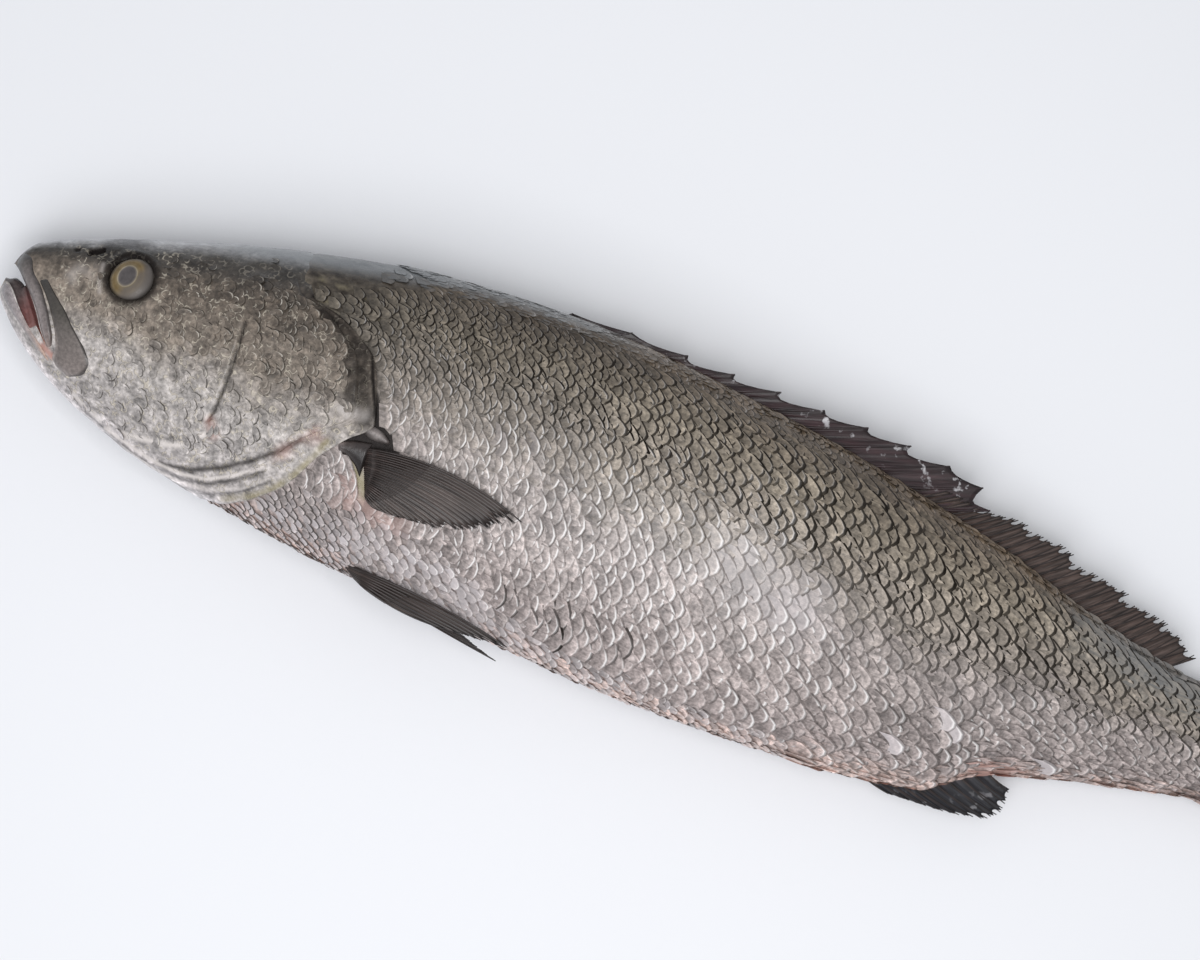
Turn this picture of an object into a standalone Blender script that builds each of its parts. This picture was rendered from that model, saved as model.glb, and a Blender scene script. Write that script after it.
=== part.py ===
"""A whole corvina (meagre), lying on its right flank with its back towards +Y.

The fish is drawn in millimetres in its own frame: s runs from the tip of the upper jaw to the
tail, t from the body's axis towards the back, and z up from the board that it lies on. The last
step turns that into metres and puts the middle of the fish's box over the origin.
"""

import bisect
import math

import bmesh
import bpy
from mathutils import Matrix, Vector

# Driving sizes, in millimetres.
MM = 0.001
STANDARD_LENGTH = 545.0
TAIL_FIN_LENGTH = 87.0
BODY_DEPTH = 134.0
BODY_THICKNESS = 77.0

# The side view and the plan, as (share of the length, share of half the depth or thickness).
BACK_LINE = (
    (-0.0055, -0.19), (-0.004, -0.10), (-0.0015, 0.01), (0.001, 0.07), (0.008, 0.15),
    (0.016, 0.19), (0.029, 0.245), (0.056, 0.335), (0.105, 0.48), (0.187, 0.69), (0.294, 0.87),
    (0.404, 0.93), (0.569, 0.84), (0.739, 0.62), (0.829, 0.43), (0.894, 0.33), (0.945, 0.295),
    (1.000, 0.305), (1.020, 0.33),
)
BELLY_LINE = (
    (-0.0055, -0.19), (-0.0017, -0.24), (0.005, -0.30), (0.022, -0.42), (0.059, -0.60),
    (0.113, -0.76), (0.153, -0.84), (0.220, -0.92), (0.286, -0.98), (0.391, -1.03),
    (0.527, -1.07), (0.626, -1.04), (0.738, -0.92), (0.791, -0.69), (0.828, -0.58),
    (0.906, -0.41), (0.945, -0.345), (1.000, -0.335), (1.020, -0.36),
)
FLANK_LINE = (
    (-0.0055, 0.01), (-0.003, 0.09), (0.000, 0.15), (0.011, 0.24), (0.046, 0.45), (0.105, 0.68),
    (0.187, 0.85), (0.259, 0.95), (0.334, 1.00), (0.440, 1.00), (0.569, 0.92), (0.653, 0.81),
    (0.739, 0.65), (0.829, 0.47), (0.894, 0.36), (0.945, 0.29), (1.000, 0.18), (1.020, 0.09),
)
# The middle plane's height over the board, as (share of the length, millimetres).
MIDDLE_HEIGHT = (
    (-0.01, 33.0), (0.10, 33.5), (0.26, 34.5), (0.44, 34.5), (0.57, 32.5), (0.65, 29.0),
    (0.74, 24.5), (0.83, 19.5), (0.89, 15.5), (0.95, 13.0), (1.00, 11.0), (1.02, 10.5),
)
WIDEST_ABOVE_MIDDLE = 0.08
BOARD_CONTACT_BLEND = 2.5

# The gill cover, as (angle from the back in degrees, s): its bony margin, and the soft membrane
# that runs out from under it, as far as the throat.
COVER_MARGIN = (
    (0, 104), (40, 107), (54, 112), (61, 124), (69, 134), (75, 141), (88, 147), (96, 149),
    (103, 142), (111, 133), (127, 122), (142, 110), (152, 97), (160, 76), (180, 66),
)
MEMBRANE_EDGE = (
    (0, 110), (40, 113), (55, 118), (61, 130), (68, 140), (74, 148), (88, 155), (97, 158),
    (105, 150), (115, 142), (129, 135), (141, 126), (154, 116), (166, 107), (180, 101),
)
COVER_STEP = 1.8
MEMBRANE_STEP = 1.3
STEP_WIDTH = 0.8

# How finely the body is laid out.
SIDES = 44
HEAD_RINGS = 20
MEMBRANE_RINGS = 2
TRUNK_RINGS = 30

# The mouth and the eyes. The jaws' edges are (s, t) points from the front to the mouth's corner.
CHIN_FRONT = -2.7
UPPER_JAW_EDGE = ((-9.0, -0.6), (0.4, -1.2), (7.4, -6.3), (12.1, -10.4), (16.6, -15.3), (20.6, -21.0))
MOUTH_CORNER = (26.0, -27.5)
LOWER_JAW_EDGE = (
    (16.5, -21.5), (11.5, -16.5), (7.2, -10.5), (4.1, -6.2), (1.3, -5.4), (-0.7, -6.7), (-9.0, -7.5),
)
JAW_LIP = 1.3
STRIP_ROOT = 4.5
EYE_PLACE = (47.5, 11.1)
EYE_RADIUS = 9.4
EYE_FLATNESS = 0.52
EYE_SUNK = 2.2
SOCKET_GAP = 0.3

# The fins: how thick the skin between the rays is, and how far a folded one stands off the body.
FIN_THICKNESS = 1.1
FIN_ROWS = 3
FIN_ROOT = 3.0
FIN_CLEARANCE = 2.5


def smooth_curve(points):
    """A curve through the points that never overshoots them (monotone cubic), as a function."""
    xs = [float(x) for x, _ in points]
    ys = [float(y) for _, y in points]
    steps = [b - a for a, b in zip(xs, xs[1:])]
    rises = [(b - a) / step for a, b, step in zip(ys, ys[1:], steps)]
    slopes = [rises[0]]
    for before, after in zip(rises, rises[1:]):
        turning = before * after <= 0
        slopes.append(0.0 if turning else 2 * before * after / (before + after))
    slopes.append(rises[-1])

    def at(x):
        x = min(max(x, xs[0]), xs[-1])
        i = min(bisect.bisect_right(xs, x) - 1, len(steps) - 1)
        u = (x - xs[i]) / steps[i]
        level = ys[i] * (1 + 2 * u) * (1 - u) ** 2 + ys[i + 1] * u * u * (3 - 2 * u)
        bend = slopes[i] * u * (1 - u) ** 2 - slopes[i + 1] * u * u * (1 - u)
        return level + steps[i] * bend

    return at


back_share = smooth_curve(BACK_LINE)
belly_share = smooth_curve(BELLY_LINE)
flank_share = smooth_curve(FLANK_LINE)
middle_height = smooth_curve(MIDDLE_HEIGHT)
cover_margin = smooth_curve(COVER_MARGIN)
membrane_edge = smooth_curve(MEMBRANE_EDGE)


def ease(x):
    """0 before 0, 1 after 1 and a smooth rise between."""
    x = min(max(x, 0.0), 1.0)
    return x * x * (3 - 2 * x)


def back(s):
    return back_share(s / STANDARD_LENGTH) * BODY_DEPTH / 2


def belly(s):
    return belly_share(s / STANDARD_LENGTH) * BODY_DEPTH / 2


def middle(s):
    return middle_height(s / STANDARD_LENGTH)


def section(s):
    """The body's section at s: its middle, half its depth and half its thickness."""
    top, bottom = back(s), belly(s)
    half_depth = (top - bottom) / 2
    half_thickness = flank_share(s / STANDARD_LENGTH) * BODY_THICKNESS / 2
    return (top + bottom) / 2, half_depth, half_thickness


def rest_on_board(z):
    """The flesh gives where it meets the board: nothing is lower than 0, with a soft turn."""
    r = BOARD_CONTACT_BLEND
    if z < -r:
        return 0.0
    return (z + r) ** 2 / (4 * r) if z < r else z


def skin_point(s, angle, lift=0.0):
    """A point of the skin: angle is 0 at the back, 90 at the left flank and 180 at the belly."""
    centre, half_depth, half_thickness = section(s)
    turn = math.radians(angle)
    across = math.cos(turn) + WIDEST_ABOVE_MIDDLE * math.sin(turn) ** 2
    out = Vector((0.0, half_depth * across, half_thickness * math.sin(turn)))
    out += out.normalized() * lift
    return Vector((s, centre + out.y, rest_on_board(middle(s) + out.z)))


def angle_at(s, t):
    """The angle of the left flank's skin that is at height t in the side view."""
    centre, half_depth, _ = section(s)
    share = (t - centre) / half_depth
    k = WIDEST_ABOVE_MIDDLE
    inside = max(0.0, 1 - 4 * k * (share - k))
    cosine = (1 - math.sqrt(inside)) / (2 * k)
    return math.degrees(math.acos(min(1.0, max(-1.0, cosine))))


def on_left_flank(s, t, lift=0.0):
    """The point of the left flank seen at (s, t), or lift over it."""
    point = skin_point(s, angle_at(s, t))
    return Vector((s, t, point.z + lift))


def other_side(point):
    """The same point on the other side of the middle plane."""
    return Vector((point.x, point.y, 2 * middle(point.x) - point.z))


def material(name, colour, roughness):
    made = bpy.data.materials.new(name)
    made.use_nodes = True
    shader = made.node_tree.nodes["Principled BSDF"]
    shader.inputs["Base Color"].default_value = (*colour, 1.0)
    shader.inputs["Roughness"].default_value = roughness
    shader.inputs["Metallic"].default_value = 0.0
    return made


def clear_scene():
    for obj in list(bpy.data.objects):
        bpy.data.objects.remove(obj, do_unlink=True)


def new_collection(name, shown=True):
    made = bpy.data.collections.new(name)
    bpy.context.scene.collection.children.link(made)
    made.hide_render = not shown
    return made


def add_mesh(name, points, faces, finish, collection):
    """A mesh object from points in millimetres of the fish's frame."""
    mesh = bpy.data.meshes.new(name)
    mesh.from_pydata([tuple(p * MM) for p in points], [], faces)
    mesh.materials.append(finish)
    mesh.shade_smooth()
    obj = bpy.data.objects.new(name, mesh)
    collection.objects.link(obj)
    return obj


def grid_faces(rows, columns, closed=False):
    """Quads between rows of points that are listed one row after another."""
    last = columns if closed else columns - 1
    faces = []
    for row in range(rows - 1):
        for column in range(last):
            beside = (column + 1) % columns
            a, b = row * columns + column, row * columns + beside
            faces.append((a, b, b + columns, a + columns))
    return faces


def ready_for_boolean(obj):
    """Turns a closed mesh's faces outwards and splits them, as a Boolean cuts flat faces best."""
    work = bmesh.new()
    work.from_mesh(obj.data)
    bmesh.ops.recalc_face_normals(work, faces=work.faces)
    bmesh.ops.triangulate(work, faces=work.faces)
    work.to_mesh(obj.data)
    work.free()


def apply_modifiers(obj):
    graph = bpy.context.evaluated_depsgraph_get()
    made = bpy.data.meshes.new_from_object(obj.evaluated_get(graph))
    obj.modifiers.clear()
    obj.data = made


def flank_share_of_step(angle):
    """How much of the gill cover's step shows: none over the nape, little under the throat."""
    folded = min(angle, 360 - angle)
    return ease((folded - 38) / 20) * (1 - 0.85 * ease((folded - 158) / 14))


def body_rings():
    """Every ring of the body, as a function that gives (s, lift) at an angle."""
    straight, end = 120.0, STANDARD_LENGTH * 1.02

    def head_ring(u):
        def at(angle):
            edge = cover_margin(angle)
            s = CHIN_FRONT + straight * u + (edge - straight - CHIN_FRONT) * u * u
            return s, COVER_STEP * ease((u - 0.55) / 0.4)
        return at

    def under_cover(share):
        def at(angle):
            start = cover_margin(angle) + STEP_WIDTH
            return start + (membrane_edge(angle) - start) * share, MEMBRANE_STEP * share
        return at

    def trunk_ring(v):
        def at(angle):
            start = membrane_edge(angle) + STEP_WIDTH
            s = start + (end - start) * v
            return s - (start - 135) * v * (1 - v), 0.0
        return at

    rings = [head_ring((i / HEAD_RINGS) ** 1.6) for i in range(HEAD_RINGS + 1)]
    rings += [under_cover(i / MEMBRANE_RINGS) for i in range(MEMBRANE_RINGS + 1)]
    rings += [trunk_ring(i / TRUNK_RINGS) for i in range(TRUNK_RINGS + 1)]
    return rings


def build_body(skin, collection):
    """Head and trunk as one loft, whose rings follow the gill cover's edges round the body."""
    points = []
    rings = body_rings()
    for ring in rings:
        for i in range(SIDES):
            angle = 360 * i / SIDES
            s, lift = ring(min(angle, 360 - angle))
            points.append(skin_point(s, angle, lift * flank_share_of_step(angle)))
    faces = grid_faces(len(rings), SIDES, closed=True)
    faces.append(tuple(range(SIDES)))
    faces.append(tuple((len(rings) - 1) * SIDES + i for i in range(SIDES)))
    body = add_mesh("corvina", points, faces, skin, collection)
    ready_for_boolean(body)
    return body


def root_in_flesh(strip, depth):
    """Closes an open strip by extruding it straight into the head."""
    work = bmesh.new()
    work.from_mesh(strip.data)
    made = bmesh.ops.extrude_face_region(work, geom=work.faces[:])["geom"]
    roots = [item for item in made if isinstance(item, bmesh.types.BMVert)]
    bmesh.ops.translate(work, verts=roots, vec=(0.0, 0.0, depth * MM))
    work.to_mesh(strip.data)
    work.free()
    ready_for_boolean(strip)


def strip_on_head(name, line, widths, lift, finish, collection, mirrored):
    """A raised strip of skin and bone along a line on the head, such as a lip."""
    columns = 5
    points = []
    for i, (s, t) in enumerate(line):
        before, after = Vector(line[max(i - 1, 0)]), Vector(line[min(i + 1, len(line) - 1)])
        along = (after - before).normalized()
        across = Vector((-along.y, along.x))
        for j in range(columns):
            side = 2 * j / (columns - 1) - 1
            place = Vector((s, t)) + across * side * widths[i] / 2
            rise = lift * (1 - side ** 4)
            point = on_left_flank(place.x, place.y, rise)
            points.append(other_side(point) if mirrored else point)
    strip = add_mesh(name, points, grid_faces(len(line), columns), finish, collection)
    root_in_flesh(strip, STRIP_ROOT if mirrored else -STRIP_ROOT)


def build_jaws(skin, collection):
    """The upper lip and the paddle of the upper jaw bone, on both sides of the head."""
    lip = ((4.5, 1.5), (8.2, -3.7), (14.0, -8.3), (18.7, -14.0), (23.0, -20.0), (26.5, -25.5))
    lip_widths = (6.0, 5.4, 5.0, 4.8, 3.6, 2.5)
    paddle = ((21.5, -9.0), (26.5, -14.0), (31.0, -18.5), (35.0, -23.0), (38.5, -27.0), (41.0, -30.5))
    paddle_widths = (4.0, 6.0, 8.0, 11.0, 13.0, 9.0)
    for mirrored, side in ((False, "left"), (True, "right")):
        strip_on_head(f"lip_{side}", lip, lip_widths, JAW_LIP, skin, collection, mirrored)
        strip_on_head(f"paddle_{side}", paddle, paddle_widths, JAW_LIP, skin, collection, mirrored)


def bent_ray(base, tip, bulge, rows):
    """Points along a fin ray from its base to its tip, bowed sideways by bulge."""
    return [base.lerp(tip, i / rows) + bulge * 4 * (i / rows) * (1 - i / rows) for i in range(rows + 1)]


def folded_on_flank(point, share):
    """The height of a fin laid back on the left flank: rooted in it, then just clear of it."""
    t = max(point.y, belly(point.x) + 5.0)
    skin_height = on_left_flank(point.x, t).z
    return skin_height - FIN_ROOT + (FIN_ROOT + FIN_CLEARANCE) * ease(share * 3)


def build_fin(name, rays, notch, pleat_depth, finish, collection, height=None):
    """A pleated fin: rays and the skin between them in turn, then Solidify.

    rays is a list of (base, tip, bulge). notch is how far the skin stays behind the ray tips,
    as a share of their length. height, where given, sets how high each point lies."""
    columns = []
    for i, (base, tip, bulge) in enumerate(rays):
        columns.append(bent_ray(base, tip, bulge, FIN_ROWS))
        if i + 1 < len(rays):
            following = rays[i + 1]
            between = [(a + b) / 2 for a, b in zip((base, tip, bulge), following)]
            between[1] = between[1].lerp(between[0], notch)
            columns.append(bent_ray(*between, FIN_ROWS))
    for i, column in enumerate(columns):
        pleat = pleat_depth / 2 if i % 2 == 0 else -pleat_depth / 2
        for row, point in enumerate(column):
            if height:
                point.z = height(point, row / FIN_ROWS)
            point.z += pleat * min(1.0, row)
    points = [point for column in columns for point in column]
    fin = add_mesh(name, points, grid_faces(len(columns), FIN_ROWS + 1), finish, collection)
    solid = fin.modifiers.new("Thickness", "SOLIDIFY")
    solid.thickness = FIN_THICKNESS * MM
    solid.offset = 0.0
    apply_modifiers(fin)
    ready_for_boolean(fin)
    return fin


def row_of_rays(count, base_from, base_to, reach, top_height, root):
    """The rays of a back fin: they lean back by reach and end on the fin's top edge."""
    rays = []
    for i in range(count):
        s = base_from + (base_to - base_from) * i / (count - 1)
        lean = reach(s)
        base = Vector((s, back(s) - root, middle(s)))
        tip = Vector((s + lean, back(s + lean) + top_height(s + lean), middle(s + lean)))
        rays.append((base, tip, Vector((0.0, -0.5, 0.0))))
    return rays


def build_back_fins(finish, collection):
    """The spiny fin, folded down along the back, and the long soft fin behind it."""
    spiny_edge = smooth_curve(
        ((205, 1.0), (225, 3), (265, 5), (300, 8.5), (325, 11), (352, 15), (391, 17.5), (396, 11))
    )
    soft_edge = smooth_curve(
        ((372, 10), (396, 11.5), (410, 15), (436, 18), (475, 17.5), (486, 15), (496, 9))
    )
    spiny_reach = smooth_curve(((203, 9), (240, 26), (350, 40), (367, 29)))
    spiny = row_of_rays(11, 203, 367, spiny_reach, spiny_edge, 5.0)
    soft = row_of_rays(22, 356, 480, lambda s: 20 - 4 * ease((s - 440) / 40), soft_edge, 4.0)
    build_fin("spiny_back_fin", spiny, 0.16, 0.8, finish, collection)
    build_fin("soft_back_fin", soft, 0.10, 0.8, finish, collection)


def build_vent_fin(finish, collection):
    """The short fin behind the vent, its rays swept back."""
    edge_s = smooth_curve(((0, 401), (0.3, 422), (0.6, 440), (0.8, 446), (1, 445)))
    edge_t = smooth_curve(((0, -66.8), (0.3, -65.2), (0.6, -61.5), (0.8, -56), (1, -47)))
    rays = []
    count = 8
    for i in range(count):
        share = i / (count - 1)
        s = 381 + 49 * share
        base = Vector((s, belly(s) + 4.5, middle(s)))
        tip = Vector((edge_s(share), edge_t(share), middle(440)))
        rays.append((base, tip, Vector((0.0, -0.8, 0.0))))
    build_fin("vent_fin", rays, 0.12, 0.6, finish, collection)


def build_breast_fins(finish, collection):
    """The left breast fin laid back on the flank, the right one pressed flat under the belly."""
    tip_s = smooth_curve(((0, 224), (0.25, 220), (0.5, 208), (0.78, 192), (1, 177)))
    tip_t = smooth_curve(((0, -20), (0.25, -25), (0.5, -31), (0.78, -35.5), (1, -35.5)))
    count = 9
    left, right = [], []
    for i in range(count):
        share = i / (count - 1)
        base = Vector((153 + 7 * share, -17 - 10 * share, 0.0))
        tip = Vector((tip_s(share), tip_t(share), 0.0))
        left.append((base, tip, Vector((0.0, 6.0 * (1 - share), 0.0))))
        under = Vector((153 + 6 * share, -28 - 12 * share, 8.0))
        under_tip = Vector((tip_s(share) - 2, tip_t(share) - 31, 1.6))
        right.append((under, under_tip, Vector((0.0, 2.0, -1.5))))
    build_fin("breast_fin_left", left, 0.05, 0.4, finish, collection, folded_on_flank)
    build_fin("breast_fin_right", right, 0.05, 0.4, finish, collection)


def build_belly_fins(finish, collection):
    """The pair of belly fins, folded back along the keel, the left one above the right."""
    count = 5
    left, right = [], []
    for i in range(count):
        share = i / (count - 1)
        left_base = Vector((164 + 7 * share, -60 - 4 * share, 0.0))
        left_tip = Vector((239 - 29 * share, -68 - 3 * share, 0.0))
        left.append((left_base, left_tip, Vector((0.0, 0.5, 0.0))))
        right_base = Vector((163 + 10 * share, -64.5 + 4 * share, 30.0))
        right_tip = Vector((235 - 28 * share, -76.5 + 8.5 * share, 27.0))
        right.append((right_base, right_tip, Vector((0.0, -0.8, 0.0))))
    build_fin("belly_fin_left", left, 0.06, 0.3, finish, collection, folded_on_flank)
    build_fin("belly_fin_right", right, 0.06, 0.3, finish, collection)


def build_tail_fin(finish, collection):
    """The tail fin: a fan of rays with a nearly straight rear edge."""
    count = 15
    root, end = STANDARD_LENGTH - 3, STANDARD_LENGTH + TAIL_FIN_LENGTH
    rays = []
    for i in range(count):
        q = 2 * i / (count - 1) - 1
        base = Vector((root, -1.5 + 16.5 * q, middle(root)))
        tip = Vector((end - 9 * q * q + 3.0 * math.cos(3 * q), -1.5 + 45 * q, 6.5))
        rays.append((base, tip, Vector((0.0, 5.0 * q, 0.0))))
    build_fin("tail_fin", rays, 0.03, 0.6, finish, collection)


def fuse(body, pieces):
    """One Boolean union joins the pieces to the body, which is then a single solid."""
    union = body.modifiers.new("Fuse", "BOOLEAN")
    union.operation = "UNION"
    union.operand_type = "COLLECTION"
    union.collection = pieces
    union.solver = "EXACT"
    apply_modifiers(body)
    for piece in list(pieces.objects):
        bpy.data.objects.remove(piece, do_unlink=True)
    bpy.data.collections.remove(pieces)


def mouth_cutter(collection, lining):
    """The space between the jaws: a wedge from the front of the snout to the mouth's corner."""
    outline = UPPER_JAW_EDGE + (MOUTH_CORNER,) + LOWER_JAW_EDGE
    near, far = 0.0, 70.0
    points = [Vector((s, t, z)) for z in (near, far) for s, t in outline]
    count = len(outline)
    faces = [tuple(range(count)), tuple(range(count, 2 * count))]
    faces += [(i, (i + 1) % count, count + (i + 1) % count, count + i) for i in range(count)]
    cutter = add_mesh("mouth_space", points, faces, lining, collection)
    ready_for_boolean(cutter)
    return cutter


def eye_matrix(mirrored):
    """Where an eye sits: on the skin, sunk a little, its axis square to the skin."""
    s, t = EYE_PLACE
    at = on_left_flank(s, t)
    along = on_left_flank(s + 4, t) - on_left_flank(s - 4, t)
    across = on_left_flank(s, t + 4) - on_left_flank(s, t - 4)
    axis = along.cross(across).normalized()
    centre = at - axis * EYE_SUNK
    if mirrored:
        centre = other_side(centre)
        axis = Vector((axis.x, axis.y, -axis.z))
    turn = axis.to_track_quat("Z", "Y").to_matrix().to_4x4()
    return Matrix.Translation(centre * MM) @ turn


def eye_shape(name, radius, place, finish, collection):
    """A flattened ball."""
    mesh = bpy.data.meshes.new(name)
    work = bmesh.new()
    bmesh.ops.create_uvsphere(work, u_segments=24, v_segments=14, radius=radius * MM)
    flat = Matrix.Diagonal((1.0, 1.0, EYE_FLATNESS, 1.0))
    bmesh.ops.transform(work, matrix=place @ flat, verts=work.verts)
    work.to_mesh(mesh)
    work.free()
    mesh.materials.append(finish)
    mesh.shade_smooth()
    obj = bpy.data.objects.new(name, mesh)
    collection.objects.link(obj)
    return obj


def cut(body, cutter):
    """A live Boolean cut; the cutter stays as a wire outline."""
    cutter.display_type = "WIRE"
    cutter.hide_render = True
    modifier = body.modifiers.new(f"Cut {cutter.name}", "BOOLEAN")
    modifier.operation = "DIFFERENCE"
    modifier.object = cutter
    modifier.solver = "EXACT"


def centre_over_origin(shown, others):
    """Moves everything so that the shown solids' box is centred over the origin and rests at 0."""
    graph = bpy.context.evaluated_depsgraph_get()
    corners = []
    for obj in shown.objects:
        solid = obj.evaluated_get(graph).to_mesh()
        corners += [vertex.co.copy() for vertex in solid.vertices]
    low = Vector([min(c[i] for c in corners) for i in range(3)])
    high = Vector([max(c[i] for c in corners) for i in range(3)])
    shift = Vector((-(low.x + high.x) / 2, -(low.y + high.y) / 2, -low.z))
    for obj in list(shown.objects) + list(others.objects):
        obj.data.transform(Matrix.Translation(shift))


def main():
    clear_scene()
    fish = new_collection("corvina")
    extras = new_collection("corvina_fused_pieces")
    cutters = new_collection("corvina_cutters", shown=False)
    skin = material("Fish skin", (0.26, 0.25, 0.22), 0.35)
    fin_skin = material("Fin membrane", (0.045, 0.036, 0.034), 0.45)
    eye_finish = material("Eye", (0.32, 0.25, 0.15), 0.12)
    lining = material("Mouth lining", (0.30, 0.10, 0.08), 0.4)

    body = build_body(skin, fish)
    build_jaws(skin, extras)
    build_back_fins(fin_skin, extras)
    build_vent_fin(fin_skin, extras)
    build_breast_fins(fin_skin, extras)
    build_belly_fins(fin_skin, extras)
    build_tail_fin(fin_skin, extras)
    fuse(body, extras)

    cut(body, mouth_cutter(cutters, lining))
    for mirrored, side in ((False, "left"), (True, "right")):
        place = eye_matrix(mirrored)
        eye_shape(f"eye_{side}", EYE_RADIUS, place, eye_finish, fish)
        socket = eye_shape(f"socket_{side}", EYE_RADIUS + SOCKET_GAP, place, skin, cutters)
        cut(body, socket)
    centre_over_origin(fish, cutters)


main()
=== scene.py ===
# %% [markdown]
# # A whole corvina, laid on its side
# The corvina (meagre) is a long silvery sea fish with large scales. This lesson dresses a plain
# solid of the fish, which is packed already, with skin, scales, fins, mouth and eyes.
# We load that solid first, because every piece takes its place from it.

# %% Load the frame
import math

import bmesh
import bpy
import numpy as np
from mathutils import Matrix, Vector
from mathutils.bvhtree import BVHTree


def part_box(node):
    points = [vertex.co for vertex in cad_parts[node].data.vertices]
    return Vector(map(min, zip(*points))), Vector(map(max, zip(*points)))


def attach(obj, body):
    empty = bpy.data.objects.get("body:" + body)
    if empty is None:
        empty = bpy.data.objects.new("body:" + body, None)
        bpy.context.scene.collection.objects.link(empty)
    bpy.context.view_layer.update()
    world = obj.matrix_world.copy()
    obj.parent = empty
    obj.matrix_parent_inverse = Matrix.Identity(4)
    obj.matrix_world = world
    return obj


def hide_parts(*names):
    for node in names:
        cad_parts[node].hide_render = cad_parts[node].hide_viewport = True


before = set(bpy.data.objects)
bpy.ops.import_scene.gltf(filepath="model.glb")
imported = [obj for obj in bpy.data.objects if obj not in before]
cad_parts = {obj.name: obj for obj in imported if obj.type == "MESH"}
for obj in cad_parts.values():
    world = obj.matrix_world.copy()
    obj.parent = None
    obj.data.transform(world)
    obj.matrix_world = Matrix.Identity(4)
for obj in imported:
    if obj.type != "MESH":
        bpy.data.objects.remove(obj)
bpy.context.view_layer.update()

# %% [markdown]
# ## The fish's own measures
# A fish is easiest to think of in its own frame: s runs from the tip of the upper jaw to the tail,
# t from the middle line up to the back, and z up from the surface that it lies on. The side view
# and the plan are a few shares of the length, joined by a curve that never overshoots. One could
# read the solid's mesh instead, but a rule can be asked for any point, as finely as a scale needs.

# %% Driving sizes and profiles
MM = 0.001
STANDARD_LENGTH = 545.0
TAIL_FIN_LENGTH = 87.0
BODY_DEPTH = 134.0
BODY_THICKNESS = 77.0
BACK_LINE = (
    (-0.0055, -0.19), (-0.004, -0.10), (-0.0015, 0.01), (0.001, 0.07), (0.008, 0.15),
    (0.016, 0.19), (0.029, 0.245), (0.056, 0.335), (0.105, 0.48), (0.187, 0.69), (0.294, 0.87),
    (0.404, 0.93), (0.569, 0.84), (0.739, 0.62), (0.829, 0.43), (0.894, 0.33), (0.945, 0.295),
    (1.000, 0.305), (1.020, 0.33),
)
BELLY_LINE = (
    (-0.0055, -0.19), (-0.0017, -0.24), (0.005, -0.30), (0.022, -0.42), (0.059, -0.60),
    (0.113, -0.76), (0.153, -0.84), (0.220, -0.92), (0.286, -0.98), (0.391, -1.03),
    (0.527, -1.07), (0.626, -1.04), (0.738, -0.92), (0.791, -0.69), (0.828, -0.58),
    (0.906, -0.41), (0.945, -0.345), (1.000, -0.335), (1.020, -0.36),
)
FLANK_LINE = (
    (-0.0055, 0.01), (-0.003, 0.09), (0.000, 0.15), (0.011, 0.24), (0.046, 0.45), (0.105, 0.68),
    (0.187, 0.85), (0.259, 0.95), (0.334, 1.00), (0.440, 1.00), (0.569, 0.92), (0.653, 0.81),
    (0.739, 0.65), (0.829, 0.47), (0.894, 0.36), (0.945, 0.29), (1.000, 0.18), (1.020, 0.09),
)
MIDDLE_HEIGHT = (
    (-0.01, 33.0), (0.10, 33.5), (0.26, 34.5), (0.44, 34.5), (0.57, 32.5), (0.65, 29.0),
    (0.74, 24.5), (0.83, 19.5), (0.89, 15.5), (0.95, 13.0), (1.00, 11.0), (1.02, 10.5),
)
COVER_MARGIN = (
    (0, 104), (40, 107), (54, 112), (61, 124), (69, 134), (75, 141), (88, 147), (96, 149),
    (103, 142), (111, 133), (127, 122), (142, 110), (152, 97), (160, 76), (180, 66),
)
MEMBRANE_EDGE = (
    (0, 110), (40, 113), (55, 118), (61, 130), (68, 140), (74, 148), (88, 155), (97, 158),
    (105, 150), (115, 142), (129, 135), (141, 126), (154, 116), (166, 107), (180, 101),
)
WIDEST_ABOVE_MIDDLE = 0.08
BOARD_CONTACT_BLEND = 2.5
CHIN_FRONT = -2.7
COVER_STEP = 1.8
MEMBRANE_STEP = 1.3


def smooth_curve(points):
    """A curve through the points that never overshoots them, for one number or an array."""
    xs, ys = np.array(points, float).T
    steps = np.diff(xs)
    rises = np.diff(ys) / steps
    turning = rises[:-1] * rises[1:] <= 0
    total = np.where(turning, 1.0, rises[:-1] + rises[1:])
    inner = np.where(turning, 0.0, 2 * rises[:-1] * rises[1:] / total)
    slopes = np.concatenate([rises[:1], inner, rises[-1:]])

    def at(x):
        x = np.clip(x, xs[0], xs[-1])
        i = np.clip(np.searchsorted(xs, x, side="right") - 1, 0, len(steps) - 1)
        u = (x - xs[i]) / steps[i]
        level = ys[i] * (1 + 2 * u) * (1 - u) ** 2 + ys[i + 1] * u * u * (3 - 2 * u)
        bend = slopes[i] * u * (1 - u) ** 2 - slopes[i + 1] * u * u * (1 - u)
        return level + steps[i] * bend

    return at


back_share = smooth_curve(BACK_LINE)
belly_share = smooth_curve(BELLY_LINE)
flank_share = smooth_curve(FLANK_LINE)
middle_height = smooth_curve(MIDDLE_HEIGHT)
cover_margin = smooth_curve(COVER_MARGIN)
membrane_edge = smooth_curve(MEMBRANE_EDGE)


def back(s):
    return back_share(s / STANDARD_LENGTH) * BODY_DEPTH / 2


def belly(s):
    return belly_share(s / STANDARD_LENGTH) * BODY_DEPTH / 2


def middle(s):
    return middle_height(s / STANDARD_LENGTH)


def half_thickness(s):
    return flank_share(s / STANDARD_LENGTH) * BODY_THICKNESS / 2


UPPER_SIDE, LOWER_SIDE = False, True
SIDE = {UPPER_SIDE: "left", LOWER_SIDE: "right"}  # how the names of pieces end

print("deepest", round(float(back(220.0) - belly(220.0)), 1), "mm at s 220")

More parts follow.
